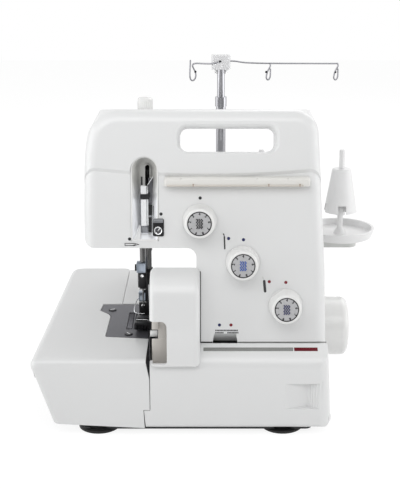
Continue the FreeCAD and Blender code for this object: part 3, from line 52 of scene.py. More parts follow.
MM = 0.001
POLE_X = 11.4
pole_low, pole_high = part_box("lower_pole")
plate_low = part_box("cloth_plate")[0]
ORIGIN = Vector(((pole_low.x + pole_high.x) / 2 - POLE_X * MM, plate_low.y, 0))

# The leaning front facet
LEAN = math.radians(8.2)
FACET_FOOT_Y = 21.0
FACET_FOOT_Z = 84.0
OUTWARD = Vector((0, -math.cos(LEAN), math.sin(LEAN)))

# How a flat drawing is turned to the surface that carries it
FACE_TURN = (math.radians(90) - LEAN, 0, 0)
SIDE_TURN = (math.radians(90), 0, math.radians(90))
UNTURNED = (0, 0, 0)


def spot(x, y, z):
    """A place on the machine."""
    return ORIGIN + Vector((x, y, z)) * MM


def flat(x, y, z=0.0):
    """A place in a small drawing that lies at the origin, or a step in millimetres."""
    return Vector((x, y, z)) * MM


def facet_y(z):
    return FACET_FOOT_Y + (z - FACET_FOOT_Z) * math.tan(LEAN)


def on_facet(x, z, lift=0.0):
    return spot(x, facet_y(z), z) + OUTWARD * lift * MM


def up_facet(z):
    """How far up the leaning facet a height lies, measured along the slope from the floor."""
    return z / math.cos(LEAN)


# Modelling by hand

# How near an end must lie to count as on a face, and a normal's least share of a direction
NEAR = 0.1 * MM
NEARLY_ALONG = 0.9


def put_down():
    if bpy.context.mode != "OBJECT":
        bpy.ops.object.mode_set(mode="OBJECT")
    bpy.ops.object.select_all(action="DESELECT")


def take(piece):
    put_down()
    piece.select_set(True)
    bpy.context.view_layer.objects.active = piece


def done():
    bpy.ops.object.mode_set(mode="OBJECT")


def settle(name):
    """Name the new piece and put its place into its mesh."""
    piece = bpy.context.view_layer.objects.active
    piece.name = name
    piece.data.name = name
    bpy.ops.object.transform_apply(location=True, rotation=True, scale=True)
    return piece


def cuboid(name, near, far):
    put_down()
    bpy.ops.mesh.primitive_cube_add(size=1, location=(near + far) / 2, scale=far - near)
    return settle(name)


def block(name, low, high):
    """A box between two places on the machine."""
    return cuboid(name, spot(*low), spot(*high))


def slab(name, low, high):
    """A box between two places in a drawing."""
    return cuboid(name, flat(*low), flat(*high))


def drum(name, base, direction, radius, length, sides=48):
    put_down()
    heading = Vector(direction).normalized()
    turn = heading.to_track_quat("Z", "Y").to_euler()
    middle = base + heading * (length * MM / 2)
    bpy.ops.mesh.primitive_cylinder_add(
        vertices=sides, radius=radius * MM, depth=length * MM, location=middle, rotation=turn)
    return settle(name)


def disc(name, radius, thick, sides=48):
    """A round plate in a drawing, standing on the drawing's plane."""
    put_down()
    bpy.ops.mesh.primitive_cylinder_add(
        vertices=sides, radius=radius * MM, depth=thick * MM, location=flat(0, 0, thick / 2))
    return settle(name)


def hoop(name, centre, radius, thick, height_share, sides):
    """A ring of round section, pressed flat to a share of its height."""
    put_down()
    bpy.ops.mesh.primitive_torus_add(
        location=centre, major_radius=radius * MM, minor_radius=thick * MM,
        major_segments=sides, minor_segments=10)
    bpy.ops.object.mode_set(mode="EDIT")
    bpy.ops.transform.resize(value=(1, 1, height_share))
    done()
    return smooth(settle(name), 60)


def open_mesh(piece, kind):
    """Open a piece in edit mode with nothing chosen."""
    take(piece)
    bpy.ops.object.mode_set(mode="EDIT")
    bpy.ops.mesh.select_mode(type=kind)
    bpy.ops.mesh.select_all(action="DESELECT")
    return bmesh.from_edit_mesh(piece.data)


def choose_faces(piece, test):
    """Choose the faces whose normal passes the test."""
    shape = open_mesh(piece, "FACE")
    for face in shape.faces:
        face.select_set(bool(test(face.normal)))
    bmesh.update_edit_mesh(piece.data)


def choose_edges(piece, test):
    """Choose the edges whose two ends pass the test."""
    shape = open_mesh(piece, "EDGE")
    for edge in shape.edges:
        first, second = edge.verts
        edge.select_set(bool(test(first.co, second.co)))
    bmesh.update_edit_mesh(piece.data)


def choose_points(piece, test):
    shape = open_mesh(piece, "VERT")
    for point in shape.verts:
        point.select_set(bool(test(point.co)))
    shape.select_flush_mode()
    bmesh.update_edit_mesh(piece.data)


def facing(direction):
    """A test for faces that look along one direction."""
    heading = Vector(direction)
    return lambda normal: normal.dot(heading) > NEARLY_ALONG


UPWARD = facing((0, 0, 1))
DOWNWARD = facing((0, 0, -1))
FORWARD = facing((0, -1, 0))
LEFTWARD = facing((-1, 0, 0))
RIGHTWARD = facing((1, 0, 0))


def everywhere(normal):
    return True


def rising(least):
    """A test for edges that rise by more than so many millimetres."""
    return lambda first, second: abs(first.z - second.z) > least * MM


def recess(piece, side, *steps):
    """Inset the faces on one side by a width, then move the inner faces, once for each step."""
    choose_faces(piece, side)
    for width, *move in steps:
        bpy.ops.mesh.inset(thickness=width * MM)
        if move:
            bpy.ops.transform.translate(value=flat(*move))
    done()


def boss(piece, side, width, *move):
    """Inset the faces on one side by a width and draw the inner faces out."""
    choose_faces(piece, side)
    bpy.ops.mesh.inset(thickness=width * MM)
    bpy.ops.mesh.extrude_region_move(TRANSFORM_OT_translate={"value": flat(*move)})
    done()


def round_edges(piece, test, radius, segments):
    choose_edges(piece, test)
    bpy.ops.mesh.bevel(offset=radius * MM, segments=segments, affect="EDGES")
    done()


def drag_points(piece, test, *move):
    choose_points(piece, test)
    bpy.ops.transform.translate(value=flat(*move))
    done()


def apply(piece, kind, **settings):
    take(piece)
    modifier = piece.modifiers.new(kind.lower(), kind)
    for key, value in settings.items():
        setattr(modifier, key, value)
    bpy.ops.object.modifier_apply(modifier=modifier.name)


def soften(piece, width, segments=3, angle=30):
    """Round every sharp edge of a piece by a small width."""
    apply(piece, "BEVEL", width=width * MM, segments=segments, limit_method="ANGLE",
          angle_limit=math.radians(angle), harden_normals=False)
    return smooth(piece)


def smooth(piece, angle=35):
    take(piece)
    bpy.ops.object.shade_smooth_by_angle(angle=math.radians(angle))
    return piece


def hollow_out(piece, cutter):
    apply(piece, "BOOLEAN", object=cutter, operation="DIFFERENCE", solver="EXACT")
    bpy.data.objects.remove(cutter)


def join(name, pieces):
    take(pieces[0])
    for piece in pieces[1:]:
        piece.select_set(True)
    bpy.ops.object.join()
    return settle(name)


def lay(piece, place, turn=FACE_TURN):
    """Bring a drawing from the origin to its place, turned to the surface that carries it."""
    take(piece)
    piece.rotation_euler = turn
    piece.location = place
    bpy.ops.object.transform_apply(location=True, rotation=True, scale=True)
    return piece


def spin(piece, angle):
    """Turn a drawing about the origin, in its own plane."""
    return lay(piece, flat(0, 0), (0, 0, angle))


def twin(piece, name):
    copy = piece.copy()
    copy.data = piece.data.copy()
    copy.name = name
    copy.data.name = name
    bpy.context.scene.collection.objects.link(copy)
    return copy


def copies(name, pattern, places, turn=UNTURNED):
    """Copies of one piece at several places, joined to one."""
    return join(name, [lay(twin(pattern, name), place, turn) for place in places])


def discard(*pieces):
    for piece in pieces:
        bpy.data.objects.remove(piece)


def figure(text, size, place=(0, 0), turn=0.0, bold=0.0):
    """A printed figure as a thin mesh in a drawing."""
    put_down()
    bpy.ops.object.text_add(location=flat(*place), rotation=(0, 0, turn))
    letter = bpy.context.view_layer.objects.active
    letter.data.body = text
    letter.data.size = size * MM
    letter.data.offset = bold * MM
    letter.data.extrude = 0.06 * MM
    letter.data.align_x = "CENTER"
    letter.data.align_y = "CENTER"
    letter.data.resolution_u = 4
    bpy.ops.object.convert(target="MESH")
    return settle("figure")


def figure_ring(name, count, at_top, degrees, radius, size, lift, bold=0.0):
    """Figures from 1 up, set round a dial so many degrees apart, with one of them at the top."""
    ring = []
    for number in range(1, count + 1):
        turn = math.radians(degrees * (at_top - number))
        place = (-radius * math.sin(turn), radius * math.cos(turn), lift)
        ring.append(figure(str(number), size, place, turn, bold))
    return join(name, ring)


def wire(name, points, radius, rounded=True, sides=5):
    """A round wire through the points, smooth or with straight runs."""
    put_down()
    curve = bpy.data.curves.new(name, "CURVE")
    curve.dimensions = "3D"
    curve.bevel_depth = radius * MM
    curve.bevel_resolution = sides
    curve.use_fill_caps = True
    curve.resolution_u = 8
    run = curve.splines.new("NURBS" if rounded else "POLY")
    run.points.add(len(points) - 1)
    for knot, point in zip(run.points, points):
        knot.co = (*point, 1)
    if rounded:
        run.use_endpoint_u = True
        run.order_u = 4
    strand = bpy.data.objects.new(name, curve)
    bpy.context.scene.collection.objects.link(strand)
    take(strand)
    bpy.ops.object.convert(target="MESH")
    return smooth(settle(name), 60)


def fit(piece, finish, body, stands_for=()):
    """Give a piece its finish and let it move with its body."""
    piece.data.materials.clear()
    piece.data.materials.append(finish.material)
    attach(piece, body)
    if stands_for:
        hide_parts(*stands_for)


# Finishes

NOISE_LOW = 0.1
NOISE_HIGH = 0.9


class Finish:
    """A material with one shader, whose sockets are fed from noise in the piece's own place."""

    def __init__(self, name, colour, roughness, metallic=0.0):
        self.material = bpy.data.materials.new(name)
        self.material.use_nodes = True
        self.nodes = self.material.node_tree.nodes
        self.links = self.material.node_tree.links
        self.shader = self.nodes["Principled BSDF"]
        self.shader.inputs["Base Color"].default_value = (*colour, 1)
        self.shader.inputs["Roughness"].default_value = roughness
        self.shader.inputs["Metallic"].default_value = metallic
        self.colour = colour
        self.place = self.nodes.new("ShaderNodeTexCoord").outputs["Object"]

    def grain(self, size, stretch=(1, 1, 1), detail=3.0):
        """Noise whose patches are about size millimetres across."""
        mapping = self.nodes.new("ShaderNodeMapping")
        mapping.inputs["Scale"].default_value = stretch
        noise = self.nodes.new("ShaderNodeTexNoise")
        noise.inputs["Scale"].default_value = 1 / (size * MM)
        noise.inputs["Detail"].default_value = detail
        self.links.new(self.place, mapping.inputs["Vector"])
        self.links.new(mapping.outputs["Vector"], noise.inputs["Vector"])
        return noise.outputs["Fac"]

    def tint(self, source, darker, lighter):
        """Let the colour drift between two shares of itself."""
        ramp = self.nodes.new("ShaderNodeValToRGB")
        ramp.color_ramp.elements[0].position = NOISE_LOW
        ramp.color_ramp.elements[1].position = NOISE_HIGH
        for element, share in zip(ramp.color_ramp.elements, (darker, lighter)):
            element.color = (*[min(1.0, part * share) for part in self.colour], 1)
        self.links.new(source, ramp.inputs["Fac"])
        self.links.new(ramp.outputs["Color"], self.shader.inputs["Base Color"])

    def gloss(self, source, low, high):
        """Let the roughness drift between two values."""
        span = self.nodes.new("ShaderNodeMapRange")
        span.inputs["From Min"].default_value = NOISE_LOW
        span.inputs["From Max"].default_value = NOISE_HIGH
        span.inputs["To Min"].default_value = low
        span.inputs["To Max"].default_value = high
        self.links.new(source, span.inputs["Value"])
        self.links.new(span.outputs["Result"], self.shader.inputs["Roughness"])
        return self

    def relief(self, source, height, strength):
        bump = self.nodes.new("ShaderNodeBump")
        bump.inputs["Strength"].default_value = strength
        bump.inputs["Distance"].default_value = height * MM
        self.links.new(source, bump.inputs["Height"])
        self.links.new(bump.outputs["Normal"], self.shader.inputs["Normal"])
        return self

    def grade(self, low, high, below, above):
        """Let the colour change with height, between two places in millimetres."""
        split = self.nodes.new("ShaderNodeSeparateXYZ")
        span = self.nodes.new("ShaderNodeMapRange")
        span.interpolation_type = "SMOOTHSTEP"
        span.inputs["From Min"].default_value = low * MM
        span.inputs["From Max"].default_value = high * MM
        ramp = self.nodes.new("ShaderNodeValToRGB")
        ramp.color_ramp.elements[0].color = (*below, 1)
        ramp.color_ramp.elements[1].color = (*above, 1)
        self.links.new(self.place, split.inputs["Vector"])
        self.links.new(split.outputs["Z"], span.inputs["Value"])
        self.links.new(span.outputs["Result"], ramp.inputs["Fac"])
        self.links.new(ramp.outputs["Color"], self.shader.inputs["Base Color"])

    def set(self, **sockets):
        for name, value in sockets.items():
            self.shader.inputs[name.replace("_", " ")].default_value = value
        return self


def moulded(name, colour, low, high):
    """Injection-moulded plastic: slow drift in colour, nearly even gloss and a faint orange peel."""
    colour_patch = 140
    gloss_patch = 60
    peel_patch = 1.2
    peel_height = 0.003
    finish = Finish(name, colour, (low + high) / 2)
    finish.tint(finish.grain(colour_patch, detail=2), 0.99, 1.01)
    finish.gloss(finish.grain(gloss_patch, detail=2), low, high)
    return finish.relief(finish.grain(peel_patch), peel_height, 0.4)


def plated(name, colour, low, high):
    """Polished plate: nearly even, with a light haze where it is handled."""
    colour_patch = 14
    haze_patch = 9
    finish = Finish(name, colour, low, metallic=1.0)
    finish.tint(finish.grain(colour_patch), 0.97, 1.02)
    return finish.gloss(finish.grain(haze_patch, detail=6), low, high)


def ground(name, colour, along, low, high):
    """Ground or brushed metal: fine scratches drawn out along one direction."""
    scratch_width = 0.35
    scratch_depth = 0.004
    stretch = tuple(0.03 if part else 1.0 for part in along)
    finish = Finish(name, colour, low, metallic=1.0)
    scratches = finish.grain(scratch_width, stretch, detail=2)
    finish.tint(scratches, 0.88, 1.06)
    finish.gloss(scratches, low, high)
    return finish.relief(scratches, scratch_depth, 0.4)


def rough_coat(name, colour, low, high, size, height, metallic=0.0):
    """A matt or cast surface with visible grain of a size and height."""
    finish = Finish(name, colour, (low + high) / 2, metallic)
    finish.tint(finish.grain(size * 6), 0.85, 1.12)
    finish.gloss(finish.grain(size * 3), low, high)
    return finish.relief(finish.grain(size), height, 0.7)


def ink(name, colour, low=0.4, high=0.55):
    """A thin print: nearly flat, with the broken gloss of dried ink."""
    colour_patch = 1.4
    gloss_patch = 0.7
    finish = Finish(name, colour, (low + high) / 2)
    finish.tint(finish.grain(colour_patch), 0.9, 1.08)
    return finish.gloss(finish.grain(gloss_patch), low, high)


# Plastics and rubber
SHELL_WHITE = moulded("shell_white", (0.78, 0.785, 0.785), 0.28, 0.32)
SHELL_WHITE.set(Coat_Weight=0.12, Coat_Roughness=0.1)
KNOB_WHITE = moulded("knob_white", (0.82, 0.82, 0.81), 0.24, 0.34)
KNOB_WHITE.set(Coat_Weight=0.2, Coat_Roughness=0.12)
PURE_WHITE = moulded("pure_white", (0.93, 0.93, 0.92), 0.24, 0.3)
SPOOL_WHITE = moulded("spool_white", (0.87, 0.87, 0.87), 0.32, 0.38)
STAND_GREY = moulded("stand_grey", (0.7, 0.71, 0.69), 0.38, 0.46)
GUIDE_CREAM = moulded("guide_cream", (0.76, 0.75, 0.72), 0.3, 0.36)
# A darker copy of the guide cream: painted shade under the rail's lip.
LIP_PAINTED_SHADE = moulded("lip_painted_shade", (0.6, 0.57, 0.52), 0.3, 0.36)
CHUTE_BEIGE = moulded("chute_beige", (0.8, 0.76, 0.71), 0.36, 0.44)
# Lighter than the shell: painted highlight on the rounded edges of the channel rim and the thread slots'
# lips.
PALE_HIGHLIGHT = moulded("pale_painted_highlight", (0.86, 0.86, 0.85), 0.2, 0.3)
LAMP_LENS = moulded("lamp_lens", (0.92, 0.92, 0.9), 0.12, 0.2).set(Transmission_Weight=0.7, IOR=1.49)
HUB_CLEAR = moulded("hub_clear", (0.9, 0.9, 0.91), 0.16, 0.26).set(Transmission_Weight=0.35, IOR=1.49)
BLACK_PLASTIC = rough_coat("black_plastic", (0.022, 0.022, 0.024), 0.42, 0.58, 0.5, 0.01)
# Rubber; also the dark of the painted shadow in the gap beside the hood and along the left part of the
# cover's seam.
RUBBER_AND_SHADE_BLACK = rough_coat("rubber_and_painted_shade", (0.012, 0.012, 0.012), 0.62, 0.82, 0.7, 0.02)
PULLEY_BLACK = rough_coat("pulley_black", (0.045, 0.045, 0.05), 0.4, 0.55, 0.6, 0.01)

# Metals
CHROME = plated("bright_chrome", (0.72, 0.73, 0.74), 0.1, 0.16)
POLE_CHROME = plated("pole_chrome", (0.4, 0.4, 0.42), 0.1, 0.16)
WIRE_CHROME = plated("wire_chrome", (0.34, 0.34, 0.36), 0.1, 0.2)
DULL_CHROME = plated("dull_chrome", (0.7, 0.71, 0.72), 0.14, 0.24)
# Light steel for the guard; the same bright finish makes the bars in the plate screws' slots, a painted
# highlight.
GUARD_CHROME_AND_HIGHLIGHT = plated("guard_chrome_and_painted_highlight", (0.9, 0.91, 0.92), 0.34, 0.4).set(Metallic=0.4)
TROUGH_CHROME = plated("trough_chrome", (0.6, 0.6, 0.59), 0.3, 0.38).set(Metallic=0.55)
# Painted reflection and shade: the trough's colour runs from near white below 206 mm to darker grey above 232
# mm, for the bright light it mirrors low down and the shade high in the pocket.
TROUGH_CHROME.grade(206, 232, (0.97, 0.98, 1.0), (0.66, 0.66, 0.64))
UPRIGHT_STEEL = ground("upright_steel", (0.2, 0.2, 0.2), (0, 0, 1), 0.2, 0.3)
SHAFT_STEEL = ground("shaft_steel", (0.52, 0.52, 0.53), (1, 0, 0), 0.24, 0.4)
TOOL_STEEL = ground("tool_steel", (0.47, 0.47, 0.49), (0, 1, 0), 0.22, 0.38)
GREY_STEEL = ground("grey_steel", (0.33, 0.34, 0.36), (0, 0, 1), 0.3, 0.44)
DARK_STEEL = ground("dark_steel", (0.12, 0.12, 0.13), (0, 0, 1), 0.3, 0.44)
BLUE_STEEL = ground("blue_steel", (0.4, 0.45, 0.52), (1, 0, 0), 0.24, 0.38)
PLATE_GREY = ground("needle_plate_grey", (0.13, 0.13, 0.145), (0, 1, 0), 0.36, 0.5).set(Metallic=0.55)
# Black steel; also painted shade: the black take-up arm in its dark slot and the dark rings round the plate
# screws.
BLACK_STEEL_AND_SHADE = rough_coat("black_steel", (0.018, 0.018, 0.02), 0.28, 0.44, 0.4, 0.006, metallic=0.4)
CAST_METAL = rough_coat("cast_metal", (0.42, 0.42, 0.42), 0.46, 0.62, 0.8, 0.03, metallic=0.85)
MOTOR_BLACK = rough_coat("motor_enamel", (0.05, 0.055, 0.06), 0.34, 0.48, 0.8, 0.01)
BRONZE = rough_coat("sintered_bronze", (0.5, 0.34, 0.16), 0.38, 0.55, 0.4, 0.012, metallic=1.0)
LABEL_GREY = rough_coat("label_grey", (0.52, 0.52, 0.53), 0.3, 0.46, 0.35, 0.004, metallic=0.3)

# Prints, and thin marks of the same kind for painted shade and shadow
BLACK_INK = ink("black_ink", (0.02, 0.02, 0.022))
NAVY_INK = ink("navy_ink", (0.03, 0.035, 0.11))
STITCH_BLUE = ink("stitch_blue", (0.06, 0.13, 0.42))
BLUE_INK = ink("blue_ink", (0.014, 0.016, 0.09))
RED_INK = ink("red_ink", (0.2, 0.012, 0.022))
WHITE_INK = ink("white_ink", (0.75, 0.75, 0.74))
# Grey of the printed cover stripe; also the painted shadow along the right part of the cover's seam.
STRIPE_AND_SHADE_GREY = ink("stripe_and_painted_shade_grey", (0.25, 0.255, 0.245), 0.32, 0.44)
STRIPE_RED = ink("stripe_red", (0.13, 0.006, 0.013), 0.5, 0.6).set(Specular_IOR_Level=0.2)
# Dark grey of the prints; also painted shade in the thread slots and the rail's eyes.
PRINT_AND_SHADE_GREY = ink("print_and_painted_shade_grey", (0.04, 0.04, 0.042), 0.5, 0.65)
# Brown boxes in the rail's notches: painted shade inside them.
NOTCH_PAINTED_SHADE = ink("notch_painted_shade", (0.4, 0.33, 0.27))

NODE_FINISHES = [
    (SHELL_WHITE, ["front_casing", "rear_casing", "cloth_plate", "bed_cover", "looper_cover"]),
    (KNOB_WHITE, ["handwheel", "pressure_knob", "stitch_length_dial", "differential_lever", "thread_arm",
                  "needle_tension_dial", "upper_looper_dial", "lower_looper_dial"]),
    (PURE_WHITE, ["knife_knob"]),
    (SPOOL_WHITE, ["spool_trays", "spool_pins",
                   "cone_holder_left", "cone_holder_middle", "cone_holder_right"]),
    (STAND_GREY, ["spool_stand"]),
    (GUIDE_CREAM, ["thread_guide_bar"]),
    (BLACK_PLASTIC, ["base_tray", "power_inlet", "power_switch", "motor_bracket"]),
    (RUBBER_AND_SHADE_BLACK, ["rubber_feet", "drive_belt"]),
    (PULLEY_BLACK, ["drive_pulley", "motor_pulley"]),
    (POLE_CHROME, ["upper_pole", "lower_pole"]),
    (CHROME, ["take_up_lever", "needle_thread_guide", "plate_pivot", "hinge_rod"]),
    (DULL_CHROME, ["take_up_channel", "tension_discs"]),
    (DARK_STEEL, ["casing_screws", "feed_dogs", "lower_knife_bracket"]),
    (UPRIGHT_STEEL, ["needle_bar", "needle", "presser_bar", "needle_clamp", "presser_spring"]),
    (SHAFT_STEEL, ["main_shaft"]),
    (TOOL_STEEL, ["upper_looper", "lower_looper", "lower_knife", "looper_guides"]),
    (PLATE_GREY, ["needle_plate"]),
    (BLACK_STEEL_AND_SHADE, ["presser_foot", "presser_lifter", "upper_knife"]),
    (CAST_METAL, ["machine_frame"]),
    (MOTOR_BLACK, ["motor"]),
    (BRONZE, ["shaft_bushes", "bar_bushes"]),
    (LAMP_LENS, ["sewing_lamp"]),
]


def dress_nodes():
    for finish, names in NODE_FINISHES:
        for name in names:
            node = frame["nodes"][name]
            node.data.materials.clear()
            node.data.materials.append(finish.material)


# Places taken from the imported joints

JOINT_PLACES = {
    joint["name"]: Vector(joint["pos_m"])
    for joint in frame["record"]["behaviour"]["joints"]
    if "pos_m" in joint
}

# Tension dials: a grey label with a dark rim, nine figures and a stitch picture

LABEL_RADIUS = 10.7
LABEL_THICK = 0.4
LABEL_LIFT = 19.52
LABEL_SIDES = 72
RIM_RADIUS = LABEL_RADIUS - 0.3
RIM_THICK = 0.5
PRINT_LIFT = 0.36
FIGURE_RING = 8.6
FIGURE_SIZE = 3.1
FIGURE_BOLD = 0.16
SEAM_COLUMNS = (-2.0, 0.0, 2.0)
SEAM_HALF = 0.7
SEAM_STEP = 1.4
SEAM_POINTS = 7
SEAM_LIFT = 0.38
SEAM_THREAD = 0.62
PICTURE_INKS = {"needle": BLACK_INK, "upper": STITCH_BLUE, "lower": NAVY_INK}


def dial_label():
    label = disc("dial_label", LABEL_RADIUS, LABEL_THICK, LABEL_SIDES)
    recess(label, UPWARD, (0.9, 0, 0, -0.1))
    return soften(label, 0.08, 2)


def stitch_picture():
    """Three upright zigzag seams side by side."""
    seams = []
    for column in SEAM_COLUMNS:
        points = []
        for count in range(SEAM_POINTS):
            side = SEAM_HALF if count % 2 else -SEAM_HALF
            points.append(flat(column + side, (count - SEAM_POINTS // 2) * SEAM_STEP, SEAM_LIFT))
        seams.append(wire("seam", points, SEAM_THREAD, rounded=False, sides=2))
    return join("stitch_picture", seams)


def dial_faces():
    label = dial_label()
    rim = hoop("dial_rim", flat(0, 0, PRINT_LIFT), RIM_RADIUS, RIM_THICK, 0.5, LABEL_SIDES)
    figures = figure_ring("dial_figures", 9, 4, 40, FIGURE_RING, FIGURE_SIZE, PRINT_LIFT, FIGURE_BOLD)
    picture = stitch_picture()
    for dial, picture_ink in PICTURE_INKS.items():
        place = JOINT_PLACES[dial + "_dial_turn"] + OUTWARD * LABEL_LIFT * MM
        dressed = ((label, LABEL_GREY), (rim, BLACK_INK), (figures, BLACK_INK), (picture, picture_ink))
        for drawing, finish in dressed:
            piece = lay(twin(drawing, dial + "_" + drawing.name), place)
            fit(piece, finish, dial + "_dial")
    discard(label, rim, figures, picture)


# Threading dots and thread slots on the facet

DOT_RADIUS = 1.45
DOT_THICK = 0.24
DOT_SUNK = -0.06
DOTS = {
    "black": (BLACK_INK, [(-8.8, 214.9), (-43.9, 200.6), (-72.3, 178.2)]),
    "blue": (BLUE_INK, [(30.1, 177.6), (16.7, 178.7), (8.6, 99.9)]),
    "red": (RED_INK, [(68.6, 138.9), (53.6, 139.6), (19.1, 99.9)]),
}
SLOT_THICK = 0.3
SLOT_SUNK = -0.08
# The dark strips are painted shade inside the thread slots, and the pale lips are painted highlight on their
# edges.
THREAD_SLOTS = [
    ("upper_thread_slot", (13.3, 168.8), (12.9, 181.0), 1.3, PRINT_AND_SHADE_GREY),
    ("upper_slot_hook", (12.8, 181.2), (11.9, 183.2), 1.0, PRINT_AND_SHADE_GREY),
    ("upper_slot_lip", (14.5, 169.4), (14.3, 178.6), 0.9, PALE_HIGHLIGHT),
    ("lower_thread_slot", (50.0, 129.7), (48.9, 141.2), 2.3, PRINT_AND_SHADE_GREY),
    ("lower_slot_lip", (47.9, 130.6), (47.2, 142.6), 0.9, PALE_HIGHLIGHT),
    ("lower_slot_hook", (48.6, 141.6), (47.4, 144.2), 1.0, STAND_GREY),
]


def threading_dots():
    dot = soften(disc("dot", DOT_RADIUS, DOT_THICK, 32), 0.1, 2)
    for colour, (finish, places) in DOTS.items():
        spots = [on_facet(x, z, DOT_SUNK) for x, z in places]
        fit(copies(colour + "_threading_dots", dot, spots, FACE_TURN), finish, "machine")
    discard(dot)


def thread_slots():
    """Flat strips with round ends, drawn along the facet from foot to head: dark ones as painted shade for
    the slots, pale ones as painted highlight for their lips.
    """
    for name, foot, head, width, finish in THREAD_SLOTS:
        run = Vector((head[0] - foot[0], head[1] - foot[1]))
        half = run.length / 2
        strip = slab(name, (-width / 2, -half, 0), (width / 2, half, SLOT_THICK))
        round_edges(strip, rising(0.1), width * 0.49, 6)
        spin(soften(strip, 0.06, 2), math.atan2(-run.x, run.y))
        lay(strip, on_facet((foot[0] + head[0]) / 2, (foot[1] + head[1]) / 2, SLOT_SUNK))
        fit(strip, finish, "machine")


# Thread rail over the dials

RAIL_LEFT = -40.8
RAIL_RIGHT = 89.0
RAIL_LOW = 227.0
RAIL_TOP = 234.5
RAIL_FRONT = 33.7
RAIL_REAR = facet_y(RAIL_LOW) + 0.6
RAIL_CORNER = 3.2
RAIL_BROW = 2.4
RAIL_EYES = (-25.7, 41.6, 69.0)
RAIL_MARKS = (-14.8, 52.0, 79.6)
EYE_HEADING = (0, -0.45, 1)
EYE_RADIUS = 0.6
EYE_SIDES = 20


def rail_body():
    rail = block("thread_rail", (RAIL_LEFT, RAIL_FRONT, RAIL_LOW), (RAIL_RIGHT, RAIL_REAR, RAIL_TOP))
    front = spot(0, RAIL_FRONT, 0).y + NEAR
    top = spot(0, 0, RAIL_TOP).z - NEAR
    before_rear = spot(0, RAIL_REAR - 1, 0).y

    def front_corner(first, second):
        return abs(first.z - second.z) > 4 * MM and first.y < front

    def brow(first, second):
        return min(first.z, second.z) > top and min(first.y, second.y) < before_rear

    round_edges(rail, front_corner, RAIL_CORNER, 6)
    round_edges(rail, brow, RAIL_BROW, 5)
    for x in RAIL_EYES:
        foot = spot(x, RAIL_FRONT + 2.4, RAIL_TOP - 4.0)
        hollow_out(rail, drum("eye_cutter", foot, EYE_HEADING, EYE_RADIUS, 8, EYE_SIDES))
    return soften(rail, 0.25, 2, 40)


def thread_rail():
    fit(rail_body(), GUIDE_CREAM, "machine", ["thread_guide_bar"])
    # The lip under the rail is coloured a darker cream: painted shade.
    lip_low = (RAIL_LEFT + 2.4, RAIL_FRONT - 0.9, RAIL_LOW - 0.2)
    lip = block("thread_rail_lip", lip_low, (RAIL_RIGHT - 6, RAIL_REAR, RAIL_LOW + 1.6))
    fit(soften(lip, 0.7), LIP_PAINTED_SHADE, "machine")
    # Brown boxes at the notches: painted shade.
    mark_low = (-0.6, RAIL_FRONT - 0.95, RAIL_LOW + 0.1)
    mark = soften(block("mark", mark_low, (0.6, RAIL_FRONT + 1.5, RAIL_LOW + 2.4)), 0.12, 2)
    marks = copies("thread_rail_gates", mark, [flat(x, 0) for x in RAIL_MARKS])
    fit(marks, NOTCH_PAINTED_SHADE, "machine")
    # Dark discs just inside the eyes: painted shade in the holes.
    eye_shade_foot = spot(0, RAIL_FRONT + 2.6, RAIL_TOP - 2.6)
    eye_shade = soften(drum("eye_shade", eye_shade_foot, EYE_HEADING, EYE_RADIUS - 0.02, 0.6, EYE_SIDES), 0.1, 2)
    eye_shades = copies("thread_rail_eye_shade", eye_shade, [flat(x, 0) for x in RAIL_EYES])
    fit(eye_shades, PRINT_AND_SHADE_GREY, "machine")
    discard(mark, eye_shade)


# Small prints: needle picture under the channel, dashes over the notch, stripes on the cover

PICTURE_LEFT = -76.5
PICTURE_RIGHT = -63.9
PICTURE_LOW = 172.3
PICTURE_HIGH = 174.3
PICTURE_NECK = PICTURE_RIGHT - 4.4
DASH_ROWS = [(94.9, 4.8, 16), (92.8, 4.8, 6), (92.8, 15.8, 8)]
DASH_PITCH = 1.3
DASH_WIDTH = 1.0
DASH_HALF = 0.65
DASH_THICK = 0.12
STRIPE_SLOPE = math.atan2(8.9, 20.0)
STRIPE_MIDDLE = (13.0, 80.29)
STRIPE_DEPTH = 4.4
STRIPES = [
    ("grey_cover_stripe", -5.9, 75.4, STRIPE_AND_SHADE_GREY),
    ("red_cover_stripe", 76.3, 97.6, STRIPE_RED),
]


def needle_picture():
    """The outline of a needle that points to the right, with its eye as a short slanted line."""
    middle = (PICTURE_LOW + PICTURE_HIGH) / 2
    outline = [
        (PICTURE_NECK, PICTURE_LOW),
        (PICTURE_LEFT, PICTURE_LOW),
        (PICTURE_LEFT, PICTURE_HIGH),
        (PICTURE_NECK, PICTURE_HIGH),
        (PICTURE_RIGHT, middle),
        (PICTURE_NECK, PICTURE_LOW),
    ]
    slit = [(PICTURE_NECK - 1.6, PICTURE_LOW), (PICTURE_NECK + 1.4, middle)]
    lines = []
    for points, thick in ((outline, 0.36), (slit, 0.3)):
        drawn = [flat(x, up_facet(z), 0.1) for x, z in points]
        lines.append(wire("needle_line", drawn, thick, rounded=False, sides=2))
    fit(lay(join("needle_picture", lines), on_facet(0, 0)), PRINT_AND_SHADE_GREY, "machine")


def notch_dashes():
    rows = []
    for z, start, count in DASH_ROWS:
        foot = up_facet(z - DASH_HALF)
        dash = slab("dash", (start, foot, 0), (start + DASH_WIDTH, foot + 2 * DASH_HALF, DASH_THICK))
        recess(dash, UPWARD, (0.15,))
        apply(dash, "ARRAY", count=count, use_relative_offset=False, use_constant_offset=True,
              constant_offset_displace=flat(DASH_PITCH, 0))
        rows.append(dash)
    fit(lay(join("notch_dashes", rows), on_facet(0, 0)), PRINT_AND_SHADE_GREY, "machine")


